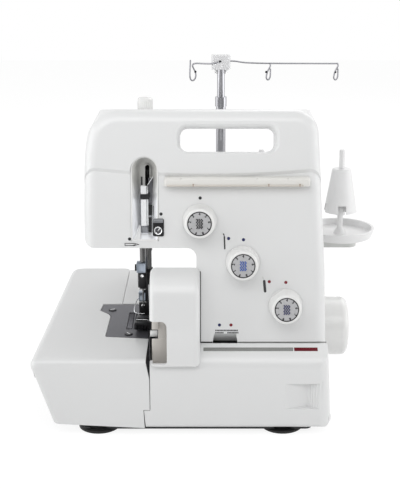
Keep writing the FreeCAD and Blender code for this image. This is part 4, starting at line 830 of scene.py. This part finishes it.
def cover_stripes():
    for name, left, right, finish in STRIPES:
        stripe = slab(name, (left, -STRIPE_DEPTH / 2, -0.1), (right, STRIPE_DEPTH / 2, 0.14))
        lay(soften(stripe, 0.08, 2), spot(0, *STRIPE_MIDDLE), (STRIPE_SLOPE, 0, 0))
        fit(stripe, finish, "looper_cover")


# Take-up channel

TROUGH_MIDDLE = -58.5
TROUGH_HALF = 12.3
TROUGH_CENTRE = 239.5
TROUGH_FOOT = 176.6
TROUGH_LIP = 0.9
TROUGH_STEPS = [(1.0, 1.2), (1.4, 2.0), (1.6, 3.0), (1.4, 3.6), (1.0, 3.6), (0.6, 2.6)]
TROUGH_RIM = 1.1
LEVER_SLOT_LOW = (-58.75, 40, 212.0)
LEVER_SLOT_HIGH = (-54.85, 80, 240.6)
LEVER_SLOT_CORNER = 1.9

# Thin plates in the channel: name, low and high corner, finish, edge softening and material slot
CHANNEL_PLATES = [
    ("take_up_guard", (-62.2, 45.0, 187.4), (-57.2, 46.4, 224.6), GUARD_CHROME_AND_HIGHLIGHT, 0.35, "bright_chrome"),
    ("guard_edge", (-57.1, 46.6, 187.4), (-55.6, 49.0, 224.2), DULL_CHROME, 0.3, "bright_chrome"),
    ("guard_band", (-62.6, 44.2, 212.3), (-54.2, 47.2, 217.2), BLACK_STEEL_AND_SHADE, 0.5, "black_steel"),
    ("guard_post", (-62.0, 47.0, 224.8), (-60.5, 48.6, 232.6), BLACK_STEEL_AND_SHADE, 0.3, "black_steel"),
    ("guard_foot", (-62.2, 46.0, 178.0), (-56.2, 47.6, 187.0), GREY_STEEL, 0.4, "bright_steel"),
    ("side_shield", (-55.4, 48.0, 207.0), (-51.6, 49.6, 231.0), DARK_STEEL, 0.5, "bright_steel"),
    ("lower_shield", (-55.8, 47.0, 178.0), (-51.8, 49.0, 206.6), BLACK_STEEL_AND_SHADE, 0.5, "black_steel"),
    ("shield_gap", (-55.6, 46.6, 195.2), (-52.0, 47.4, 196.8), GREY_STEEL, 0.3, "bright_steel"),
]
THREAD_WIRE = [(-56.0, 46.5, 225.2), (-53.6, 46.5, 229.0), (-51.2, 46.8, 232.6)]
GUIDE_ROD_FOOT = (-48.2, 43.5, 195.5)
GUIDE_ROD_STEP = -2.2


def arch(name, half):
    """A flat sheet with a round head and a square foot, drawn at the origin from the head's centre."""
    put_down()
    bpy.ops.mesh.primitive_circle_add(vertices=64, radius=half * MM, fill_type="NGON")
    sheet = settle(name)
    choose_points(sheet, lambda point: point.y < -0.01 * MM)
    bpy.ops.transform.resize(value=(1, 0, 1), center_override=(0, 0, 0))
    bpy.ops.transform.translate(value=flat(0, up_facet(TROUGH_FOOT) - up_facet(TROUGH_CENTRE)))
    done()
    return sheet


def channel_trough():
    """The chrome trough of the take-up lever: a round-bottomed pocket with a narrow slot."""
    trough = arch("channel_trough", TROUGH_HALF - TROUGH_LIP)
    recess(trough, everywhere, *[(inward, 0, 0, -back) for inward, back in TROUGH_STEPS])
    apply(trough, "SOLIDIFY", thickness=0.5 * MM, offset=-1)
    lay(trough, on_facet(TROUGH_MIDDLE, TROUGH_CENTRE))
    cutter = block("slot_cutter", LEVER_SLOT_LOW, LEVER_SLOT_HIGH)
    round_edges(cutter, lambda first, second: abs(first.y - second.y) > 10 * MM, LEVER_SLOT_CORNER, 6)
    hollow_out(trough, cutter)
    fit(smooth(trough, 50), TROUGH_CHROME, "machine", ["take_up_channel"])


def channel_rim():
    # A pale ring round the channel's mouth: painted highlight on its rounded edge.
    rim = arch("channel_rim", TROUGH_HALF)
    choose_faces(rim, everywhere)
    bpy.ops.mesh.inset(thickness=TROUGH_RIM * MM)
    bpy.ops.mesh.delete(type="FACE")
    done()
    apply(rim, "SOLIDIFY", thickness=0.7 * MM, offset=0)
    lay(soften(rim, 0.25, 3, 50), on_facet(TROUGH_MIDDLE, TROUGH_CENTRE))
    fit(rim, PALE_HIGHLIGHT, "machine")


def channel_ramp(name, right, height, depth):
    """The pale floor that rises from the pocket to the face of the head."""
    front = facet_y(TROUGH_FOOT) + 0.3
    low = (TROUGH_MIDDLE - TROUGH_HALF + 0.6, front, TROUGH_FOOT + 0.2)
    ramp = block(name, low, (right, front + depth, TROUGH_FOOT + height))
    top = spot(0, 0, TROUGH_FOOT + height).z - NEAR
    near = spot(0, front, 0).y + NEAR
    choose_edges(ramp, lambda first, second: min(first.z, second.z) > top and max(first.y, second.y) < near)
    bpy.ops.transform.translate(value=flat(0, depth - 1.0))
    done()
    fit(soften(ramp, 0.5), SHELL_WHITE, "machine")


def channel_works():
    channel_trough()
    channel_rim()
    channel_ramp("channel_floor", TROUGH_MIDDLE + TROUGH_HALF - 0.6, 3.6, 9.0)
    channel_ramp("channel_slope", -62.6, 11.0, 14.0)
    for name, low, high, finish, edge, slot in CHANNEL_PLATES:
        fit(soften(block(name, low, high), edge), finish, "machine")
    guide = wire("thread_wire", [spot(*point) for point in THREAD_WIRE], 0.35)
    fit(guide, CHROME, "machine")
    upright = soften(drum("upright", spot(*GUIDE_ROD_FOOT), (0, 0.1, 1), 0.8, 11, 24), 0.3)
    rods = copies("guide_rods", upright, [flat(0, 0), flat(GUIDE_ROD_STEP, 0)])
    fit(rods, BLACK_STEEL_AND_SHADE, "machine")
    discard(upright)


GUIDE_X = -46.3
GUIDE_Z = 188.6
GUIDE_SUNK = -0.1
SCREW_TURN = math.radians(-35)


def lower_guide():
    """The slotted plate and its screw at the lower right corner of the channel."""
    place = on_facet(GUIDE_X, GUIDE_Z, GUIDE_SUNK)
    plate = slab("guide_plate", (-5.0, -8.0, 0), (5.0, 8.0, 1.0))
    round_edges(plate, rising(0.5), 1.6, 5)
    recess(plate, UPWARD, (1.0, 0, 0, 0.3))
    lay(soften(plate, 0.2, 2), place)
    fit(plate, BLACK_STEEL_AND_SHADE, "machine", ["needle_thread_guide"])
    clip = slab("guide_clip", (-4.6, 4.4, 1.0), (4.2, 7.6, 1.9))
    recess(clip, UPWARD, (0.8, 0, 0, -0.3))
    fit(lay(soften(clip, 0.3), place), GREY_STEEL, "machine")
    screw_place = on_facet(GUIDE_X - 0.2, GUIDE_Z - 2.6, 0.9)
    head = disc("guide_screw", 3.6, 2.0, 40)
    recess(head, UPWARD, (1.1, 0, 0, -0.9))
    fit(lay(soften(head, 0.4), screw_place), CHROME, "machine")
    core = disc("guide_screw_core", 2.5, 1.5, 32)
    hollow_out(core, spin(slab("slot_cutter", (-0.5, -5, 1.0), (0.5, 5, 3)), SCREW_TURN))
    fit(lay(soften(core, 0.15, 2), screw_place), DARK_STEEL, "machine")


def take_up_arm():
    """The lever's slim arm, black as painted shade for the dark slot it stays inside."""
    pivot = JOINT_PLACES["take_up_swing"]
    hub = drum("take_up_hub", pivot + flat(-1.6, 0), (1, 0, 0), 5.0, 3.0, 40)
    arm = block("take_up_bar", (-57.6, 62.0, 227.0), (-55.4, 84.0, 231.4))
    tip = block("take_up_tip", (-57.6, 62.0, 229.0), (-55.4, 66.0, 236.0))
    lever = join("take_up_arm", [soften(hub, 0.4), soften(arm, 0.8), soften(tip, 0.8)])
    fit(lever, BLACK_STEEL_AND_SHADE, "take_up", ["take_up_lever"])


# Needle clamp and presser foot

def needle_holder():
    clamp = block("needle_clamp_block", (-70.6, 90.4, 127.2), (-61.8, 99.4, 137.0))
    recess(clamp, FORWARD, (1.2, 0, 0.5))
    fit(soften(clamp, 0.5), BLUE_STEEL, "needle_bar", ["needle_clamp"])
    grip = drum("needle_clamp_screw", spot(-70.4, 94.4, 131.6), (-1, 0, 0), 3.3, 2.0, 20)
    recess(grip, LEFTWARD, (1.1, 0.5, 0))
    fit(soften(grip, 0.25, 2), BLACK_STEEL_AND_SHADE, "needle_bar")
    holder = block("needle_holder", (-69.6, 91.0, 112.0), (-60.8, 99.2, 127.0))
    round_edges(holder, rising(5), 2.0, 3)
    boss(holder, DOWNWARD, 1.4, 0, 0, -1.6)
    fit(soften(holder, 0.4, 2), BLACK_STEEL_AND_SHADE, "needle_bar")
    ring = drum("needle_holder_ring", spot(-65.6, 90.7, 124.6), (0, -1, 0), 1.7, 0.8, 24)
    recess(ring, FORWARD, (0.6, 0, 0.7))
    fit(soften(ring, 0.12, 2), CHROME, "needle_bar")


FOOT_LEFT = -71.6
FOOT_RIGHT = -57.2
TOE_FRONT = 66.8
TOE_LOW = 77.4
TOE_TEETH = 5
TOOTH_GAP_HALF = 0.55

# Blocks of the presser foot: low corner, high corner and edge softening
FOOT_BLOCKS = {
    "foot_front": ((-70.4, 74.0, 78.4), (-58.0, 83.4, 87.0), 0.8),
    "foot_ankle": ((-69.6, 101.2, 78.0), (-57.2, 113.0, 95.0), 0.9),
    "foot_shank": ((-65.2, 101.5, 94.0), (-55.9, 111.6, 127.0), 0.9),
    "foot_side": ((-58.6, 75.0, 78.4), (-57.0, 103.0, 88.0), 0.5),
}
BRIGHT_BARS = [
    ((-69.4, 100.4, 106.6), (-62.4, 104.0, 107.8), 0.35),
    ((-69.4, 100.4, 109.2), (-62.4, 104.0, 110.2), 0.35),
    ((-69.4, 100.4, 93.4), (-62.4, 104.0, 94.4), 0.35),
    ((-60.2, 100.8, 84.0), (-59.4, 102.0, 112.0), 0.3),
]
GUARD_WIRE = [
    (-69.7, 104.0, 97.0),
    (-72.0, 98.0, 96.4),
    (-73.2, 92.0, 92.0),
    (-74.0, 88.4, 87.2),
    (-70.0, 87.6, 86.8),
    (-63.4, 87.2, 86.8),
]
EDGE_WIRE = [
    (-70.6, 74.0, 85.6),
    (-66.0, 73.6, 86.0),
    (-60.0, 73.6, 86.0),
    (-57.8, 73.4, 85.0),
    (-57.0, 72.4, 82.0),
]


def presser_toe():
    toe = block("presser_toe", (FOOT_LEFT, TOE_FRONT, TOE_LOW), (FOOT_RIGHT, 74.0, 85.0))
    low = spot(0, 0, TOE_LOW).z + NEAR
    front = spot(0, TOE_FRONT, 0).y + NEAR
    round_edges(toe, lambda first, second: max(first.z, second.z) < low and max(first.y, second.y) < front,
                2.6, 5)
    pitch = (FOOT_RIGHT - FOOT_LEFT) / TOE_TEETH
    for count in range(1, TOE_TEETH):
        x = FOOT_LEFT + count * pitch
        gap_low = (x - TOOTH_GAP_HALF, 60.0, 70.0)
        hollow_out(toe, block("tooth_gap", gap_low, (x + TOOTH_GAP_HALF, 69.6, 83.0)))
    return soften(toe, 0.25, 2)


def presser_foot():
    toe = presser_toe()
    sole = block("foot_sole", (FOOT_LEFT + 0.6, 76.0, 76.4), (FOOT_RIGHT, 118.0, 78.8))
    hollow_out(sole, block("needle_gap", (-66.6, 84.0, 70.0), (-63.4, 99.0, 95.0)))
    blocks = [toe, soften(sole, 0.4, 2)]
    for name, (low, high, edge) in FOOT_BLOCKS.items():
        blocks.append(soften(block(name, low, high), edge))
    fit(join("presser_foot_body", blocks), BLACK_STEEL_AND_SHADE, "presser", ["presser_foot"])


def foot_fittings():
    """The bright pieces on the presser foot: its joint, bars, wires and screw."""
    joint = block("foot_joint", (-69.8, 101.0, 95.2), (-63.2, 108.0, 103.4))
    recess(joint, FORWARD, (0.9, 0, 0.4))
    fit(soften(joint, 0.4), BLUE_STEEL, "presser")
    bars = [soften(block("bar", low, high), edge) for low, high, edge in BRIGHT_BARS]
    fit(join("foot_bright_bars", bars), CHROME, "presser")
    strand = wire("foot_guard_wire", [spot(*point) for point in GUARD_WIRE], 0.45)
    trim = wire("foot_edge_wire", [spot(*point) for point in EDGE_WIRE], 0.4)
    fit(join("foot_wires", [strand, trim]), CHROME, "presser")
    screw = drum("foot_screw", spot(-65.6, 101.3, 90.2), (0, -1, 0), 1.7, 1.2, 24)
    recess(screw, FORWARD, (0.4, 0, -0.3))
    fit(soften(screw, 0.15, 2), CHROME, "presser")


# Front cover: the deflector behind its window, the knife knob seen through it, and the hinge cap

CHUTE_LEFT = -53.4
CHUTE_RIGHT = -39.6
CHUTE_FRONT = 29.0
CHUTE_REAR = 30.2
CHUTE_LOW = 56.5
CHUTE_TOP = 110.5
COVER_CORNER = (98.1, 13.0)
COVER_CORNER_RADIUS = 12.5
HINGE_Z = 15.0


def waste_chute():
    """The pale wall that turns trimmed cloth out through the window, open beside the knife knob."""
    wide = block("chute_wide", (CHUTE_LEFT, CHUTE_FRONT, CHUTE_LOW), (CHUTE_RIGHT, CHUTE_REAR, 84.0))
    low = spot(0, 0, CHUTE_LOW + 0.5).z
    drag_points(wide, lambda point: point.z < low, 0, -4.0)
    narrow = block("chute_narrow", (-47.6, CHUTE_FRONT, 83.0), (CHUTE_RIGHT, CHUTE_REAR, CHUTE_TOP))
    upper = block("chute_upper", (CHUTE_LEFT, CHUTE_FRONT, 93.0), (-47.0, CHUTE_REAR, CHUTE_TOP))
    high = spot(0, 0, CHUTE_TOP - 0.5).z
    for panel in (narrow, upper):
        drag_points(panel, lambda point: point.z > high, 0, 6.0)
    chute = join("waste_chute", [soften(panel, 0.5) for panel in (wide, narrow, upper)])
    fit(chute, CHUTE_BEIGE, "looper_cover")


def knife_knob():
    """The white knob that turns the upper knife away, lying across the window."""
    knob = drum("knife_knob_grip", spot(-55.4, 39.2, 85.2), (1, 0, 0), 3.0, 7.0, 32)
    recess(knob, RIGHTWARD, (0.9, -0.7, 0))
    fit(soften(knob, 0.6), PURE_WHITE, "upper_knife", ["knife_knob"])


def hinge_cap():
    """The flat cap over the end of the hinge bore, on the rounded right corner of the cover."""
    heading = Vector((0.923, -0.385, 0))
    reach = heading * COVER_CORNER_RADIUS
    base = spot(COVER_CORNER[0] + reach.x, COVER_CORNER[1] + reach.y, HINGE_Z)
    cap = drum("hinge_cap", base, heading, 3.3, 0.8, 32)
    recess(cap, facing(heading), (0.9,))
    fit(soften(cap, 0.3), SHELL_WHITE, "looper_cover")


# Wide rubber discs under the two front feet

FOOT_PLACES = [(-103.0, 23.6), (67.0, 23.6)]
FOOT_DISC_RADIUS = 19.4
FOOT_DISC_THICK = 2.4


def foot_discs():
    discs = []
    for x, y in FOOT_PLACES:
        rubber = drum("foot_disc", spot(x, y, 0.02), (0, 0, 1), FOOT_DISC_RADIUS, FOOT_DISC_THICK, 72)
        recess(rubber, UPWARD, (2.0, 0, 0, 0.5))
        discs.append(soften(rubber, 0.5))
    fit(join("foot_discs", discs), RUBBER_AND_SHADE_BLACK, "machine")


# Painted shadow and highlight: dark strips for the shadow in the gap beside the hood and along the seam over
# the cover, dark rings for the shade round the plate screws, and bright bars in their slots

# Dark strips for the shadow in the gap beside the hood and along the seam over the cover: painted shadow.
GAP_SHADOWS = [
    ("hood_gap_shadow", (-9.7, 84.6), (-8.3, 149.0), RUBBER_AND_SHADE_BLACK),
    ("seam_shadow_left", (-9.6, 83.5), (2.0, 84.5), RUBBER_AND_SHADE_BLACK),
    ("seam_shadow_right", (25.6, 83.5), (106.2, 84.5), STRIPE_AND_SHADE_GREY),
]
PLATE_SCREWS = [(-98.3, 128.8, 25), (-77.5, 63.5, -50)]
SCREW_RING_Z = 75.35
SCREW_SLOT_Z = 75.85


def cover_seals():
    for name, (left, foot), (right, top), finish in GAP_SHADOWS:
        strip = slab(name, (left, up_facet(foot), -0.3), (right, up_facet(top), 0.25))
        lay(soften(strip, 0.15, 2), on_facet(0, 0))
        fit(strip, finish, "machine")


def plate_screws():
    # The dark rings are painted shade round each screw's recess, and the bright bars are painted highlight in
    # the slots.
    bright = []
    rings = []
    for x, y, degrees in PLATE_SCREWS:
        rings.append(hoop("screw_ring_shade", spot(x, y, SCREW_RING_Z), 3.5, 0.5, 0.8, 48))
        slot = soften(slab("screw_slot_highlight", (-2.6, -0.45, -0.1), (2.6, 0.45, 0.2)), 0.12, 2)
        bright.append(lay(slot, spot(x, y, SCREW_SLOT_Z), (0, 0, math.radians(degrees))))
    fit(join("plate_screw_ring_shades", rings), BLACK_STEEL_AND_SHADE, "machine")
    fit(join("plate_screw_slot_highlights", bright), GUARD_CHROME_AND_HIGHLIGHT, "machine")


# Thread arm: a clear hub on the pole, a chrome wire and three looped hooks

STAND_Y = 235.0
HUB_HALF_WIDTH = 9.75
HUB_HALF_DEPTH = 6.4
HUB_LOW = 303.0
HUB_TOP = 317.0
ARM_WIRE_Z = 308.7
WIRE_RADIUS = 0.85
HOOK_PLACES = {"middle_hook": 62.4, "right_hook": 132.8}

# The loop under one end of the wire: out, back over itself and up again, as steps across and up
HOOK_STEPS = [
    (0, 0),
    (0.9, -2.2),
    (-0.6, -4.6),
    (-2.6, -8.2),
    (-3.6, -12.4),
    (-3.8, -15.4),
    (-2.2, -17.6),
    (0.2, -16.0),
    (0.8, -11.0),
    (0.5, -5.4),
]
ARM_WIRE = [
    (20.0, STAND_Y, 311.2),
    (26.0, STAND_Y, 311.4),
    (32.0, STAND_Y, 309.8),
    (42.0, STAND_Y, 309.2),
    (62.0, STAND_Y, ARM_WIRE_Z),
    (100.0, STAND_Y, ARM_WIRE_Z),
    (132.0, STAND_Y, ARM_WIRE_Z - 0.2),
    (133.2, STAND_Y, ARM_WIRE_Z),
]
LEFT_WIRE = [
    (10.4, 228.6, 311.4),
    (6.4, 228.0, 310.2),
    (2.6, 229.0, 308.9),
    (-9.0, 233.0, 308.8),
    (-15.6, STAND_Y, 309.0),
    (-18.8, STAND_Y, 307.6),
    (-17.4, STAND_Y, 303.8),
    (-15.2, STAND_Y, 300.0),
    (-14.4, STAND_Y, 296.4),
    (-16.0, STAND_Y, 291.2),
    (-19.4, STAND_Y, 290.4),
    (-21.4, STAND_Y, 294.0),
    (-20.9, STAND_Y, 303.0),
    (-20.4, STAND_Y, 312.3),
]
BEADS = [
    (-15.2, STAND_Y, 300.0),
    (58.6, STAND_Y, 299.6),
    (130.6, STAND_Y, 299.6),
    (10.4, 228.4, 311.4),
]
BEAD_RADIUS = 1.25


def arm_hub():
    low = (POLE_X - HUB_HALF_WIDTH, STAND_Y - HUB_HALF_DEPTH, HUB_LOW)
    hub = block("thread_hub", low, (POLE_X + HUB_HALF_WIDTH, STAND_Y + HUB_HALF_DEPTH, HUB_TOP))
    round_edges(hub, rising(5), 3.0, 6)
    boss(hub, DOWNWARD, 4.2, 0, 0, -4.4)
    fit(soften(hub, 0.9, 4), HUB_CLEAR, "guide_pole", ["thread_arm"])


def thread_wires():
    strands = [
        wire("rail_wire", [spot(*point) for point in ARM_WIRE], WIRE_RADIUS),
        wire("left_wire", [spot(*point) for point in LEFT_WIRE], WIRE_RADIUS),
    ]
    for name, x in HOOK_PLACES.items():
        points = [spot(x + across, STAND_Y, ARM_WIRE_Z + up) for across, up in HOOK_STEPS]
        strands.append(wire(name, points, WIRE_RADIUS))
    fit(join("thread_wires", strands), WIRE_CHROME, "guide_pole")


def wire_beads():
    beads = []
    for place in BEADS:
        put_down()
        bpy.ops.mesh.primitive_uv_sphere_add(
            segments=20, ring_count=12, radius=BEAD_RADIUS * MM, location=spot(*place))
        bead = settle("bead")
        choose_faces(bead, lambda normal: abs(normal.z) > 0.8)
        bpy.ops.transform.translate(value=flat(0, 0, 0.2))
        done()
        beads.append(smooth(bead, 60))
    fit(join("wire_beads", beads), BLACK_STEEL_AND_SHADE, "guide_pole")


# Right side: figures on the stitch dial, a lever scale, switch marks and the cap of the handwheel

SIDE_X = 105.35
TICKS = 5
TICK_START = 10
TICK_STEP = 12
TICK_IN = 28.0
TICK_OUT = 31.0
SWITCH_MARK_Z = 59.0 * MM
SWITCH_MARK_INSET = 2.6 * MM


def stitch_dial_face():
    place = JOINT_PLACES["stitch_dial_turn"].copy()
    place.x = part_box("stitch_length_dial")[1].x
    figures = figure_ring("stitch_figures", 5, 3, 60, 9.4, 4.0, 0.04)
    fit(lay(figures, place, SIDE_TURN), BLACK_INK, "stitch_dial")
    grip = soften(slab("stitch_grip", (-1.6, -6.5, -0.2), (1.6, 6.5, 1.6)), 0.6)
    fit(lay(grip, place, SIDE_TURN), KNOB_WHITE, "stitch_dial")


def lever_scale():
    ticks = []
    for count in range(TICKS):
        tick = slab("tick", (TICK_IN, -0.35, -0.2), (TICK_OUT, 0.35, 0.12))
        recess(tick, UPWARD, (0.1,))
        ticks.append(spin(tick, math.radians(TICK_START + TICK_STEP * count)))
    place = JOINT_PLACES["differential_turn"].copy()
    place.x = spot(SIDE_X, 0, 0).x
    fit(lay(join("lever_scale", ticks), place, SIDE_TURN), PRINT_AND_SHADE_GREY, "machine")


def switch_marks():
    low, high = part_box("power_inlet")
    marks = []
    for text, y in (("I", low.y + SWITCH_MARK_INSET), ("O", high.y - SWITCH_MARK_INSET)):
        marks.append(lay(figure(text, 3.6), Vector((high.x, y, SWITCH_MARK_Z)), SIDE_TURN))
    fit(join("switch_marks", marks), WHITE_INK, "machine")


def wheel_cap():
    place = JOINT_PLACES["handwheel_turn"].copy()
    place.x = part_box("handwheel")[1].x - 2.55 * MM
    cap = disc("wheel_cap", 14.2, 1.6, 64)
    recess(cap, UPWARD, (3.0, 0, 0, -0.5), (5.5, 0, 0, 0.9))
    fit(lay(soften(cap, 0.5), place, SIDE_TURN), KNOB_WHITE, "drive")


def dress_pieces():
    dial_faces()
    threading_dots()
    thread_slots()
    thread_rail()
    needle_picture()
    notch_dashes()
    cover_stripes()
    channel_works()
    lower_guide()
    take_up_arm()
    needle_holder()
    presser_foot()
    foot_fittings()
    waste_chute()
    knife_knob()
    hinge_cap()
    foot_discs()
    cover_seals()
    plate_screws()
    arm_hub()
    thread_wires()
    wire_beads()
    stitch_dial_face()
    lever_scale()
    switch_marks()
    wheel_cap()


# Stage and light, in metres

WHITE = (1, 1, 1, 1)
FILL_LIGHT = 0.45
FLOOR_SIZE = 5
FLOOR_PAPER = (0.9, 0.9, 0.9, 1)
FLOOR_GLOW = 1.16
FLOOR_GLOW_SHARE = 0.75
CARD_PLACE = (0, -1.7, 0.85)
CARD_SIZE = 1.3
CARD_BLACK = (0.03, 0.03, 0.03, 1)
MATT = 0.9

MACHINE_MIDDLE = (0, 0, 0.15)

# Soft boxes: place, aim, width and height, and power in watts
SOFT_BOXES = {
    "left_light": ((-1.3, -0.25, 0.4), MACHINE_MIDDLE, (1.2, 1.0), 6),
    "right_light": ((1.3, -0.1, 0.4), MACHINE_MIDDLE, (1.2, 1.0), 6.5),
    "top_light": ((-0.1, -0.5, 0.58), (0, -0.08, 0.25), (0.8, 0.3), 1.6),
    "rear_light": ((0.5, 0.9, 1.0), (0.1, 0.1, 0.1), (1.2, 1.0), 5.5),
}


def seen_rays(tree):
    """One where a ray comes from the camera, a mirror or glass, else nought."""
    path = tree.nodes.new("ShaderNodeLightPath")
    rays = path.outputs["Is Camera Ray"]
    for kind in ("Is Glossy Ray", "Is Transmission Ray"):
        larger = tree.nodes.new("ShaderNodeMath")
        larger.operation = "MAXIMUM"
        tree.links.new(rays, larger.inputs[0])
        tree.links.new(path.outputs[kind], larger.inputs[1])
        rays = larger.outputs["Value"]
    return rays


def mix_shaders(tree, share, first, second, output):
    mix = tree.nodes.new("ShaderNodeMixShader")
    tree.links.new(share, mix.inputs["Fac"])
    tree.links.new(first, mix.inputs[1])
    tree.links.new(second, mix.inputs[2])
    tree.links.new(mix.outputs["Shader"], tree.nodes[output].inputs["Surface"])


def studio_world():
    world = bpy.data.worlds.new("studio")
    bpy.context.scene.world = world
    world.use_nodes = True
    tree = world.node_tree
    fill = tree.nodes["Background"]
    fill.inputs["Color"].default_value = WHITE
    fill.inputs["Strength"].default_value = FILL_LIGHT
    seen = tree.nodes.new("ShaderNodeBackground")
    seen.inputs["Color"].default_value = WHITE
    seen.inputs["Strength"].default_value = 1.0
    mix_shaders(tree, seen_rays(tree), fill.outputs["Background"], seen.outputs["Background"], "World Output")


def paper(name, colour):
    """A plain matt material for the stage."""
    sheet = bpy.data.materials.new(name)
    sheet.use_nodes = True
    shader = sheet.node_tree.nodes["Principled BSDF"]
    shader.inputs["Base Color"].default_value = colour
    shader.inputs["Roughness"].default_value = MATT
    return sheet, shader


def studio_floor():
    put_down()
    bpy.ops.mesh.primitive_plane_add(size=FLOOR_SIZE, location=(0, 0, 0))
    floor = settle("studio_floor")
    sheet, shader = paper("floor_paper", FLOOR_PAPER)
    tree = sheet.node_tree
    white = tree.nodes.new("ShaderNodeEmission")
    white.inputs["Strength"].default_value = FLOOR_GLOW
    share = tree.nodes.new("ShaderNodeMath")
    share.operation = "MULTIPLY"
    share.inputs[1].default_value = FLOOR_GLOW_SHARE
    tree.links.new(seen_rays(tree), share.inputs[0])
    mix_shaders(tree, share.outputs["Value"], shader.outputs["BSDF"], white.outputs["Emission"],
                "Material Output")
    floor.data.materials.append(sheet)


def soft_box(name, place, aim, size, power):
    data = bpy.data.lights.new(name, "AREA")
    data.shape = "RECTANGLE"
    data.size, data.size_y = size
    data.energy = power
    lamp = bpy.data.objects.new(name, data)
    bpy.context.scene.collection.objects.link(lamp)
    lamp.location = place
    lamp.rotation_euler = (Vector(aim) - Vector(place)).to_track_quat("-Z", "Y").to_euler()


def dark_card():
    """A black card behind the camera, which only polished surfaces mirror."""
    put_down()
    bpy.ops.mesh.primitive_plane_add(size=1, location=CARD_PLACE, rotation=(math.radians(90), 0, 0))
    card = bpy.context.view_layer.objects.active
    card.scale = (CARD_SIZE, CARD_SIZE, 1)
    settle("dark_card")
    card.data.materials.append(paper("card_black", CARD_BLACK)[0])
    card.visible_camera = False
    card.visible_diffuse = False
    card.visible_shadow = False
    card.visible_transmission = False


def studio():
    studio_world()
    studio_floor()
    for name, (place, aim, size, power) in SOFT_BOXES.items():
        soft_box(name, place, aim, size, power)
    dark_card()
    bpy.context.scene.view_settings.view_transform = "Standard"


# Camera, in millimetres and in pixels of the photograph

CAMERA_BACK = 904.0
CAMERA_HEIGHT = 460.0
CAMERA_PITCH = math.radians(17)
FOCAL_PIXELS = 1090.0
FRAME_PIXELS = 489.0
SIDE_PIXELS = 10.0
SENSOR = 36.0


def camera():
    data = bpy.data.cameras.new("photo_camera")
    data.sensor_width = SENSOR
    data.lens = FOCAL_PIXELS / FRAME_PIXELS * SENSOR
    data.shift_x = -SIDE_PIXELS / FRAME_PIXELS
    view = bpy.data.objects.new("photo_camera", data)
    bpy.context.scene.collection.objects.link(view)
    view.location = spot(0, -CAMERA_BACK, CAMERA_HEIGHT)
    view.rotation_euler = (math.radians(90) - CAMERA_PITCH, 0, 0)
    bpy.context.scene.camera = view


dress_nodes()
dress_pieces()
studio()
camera()
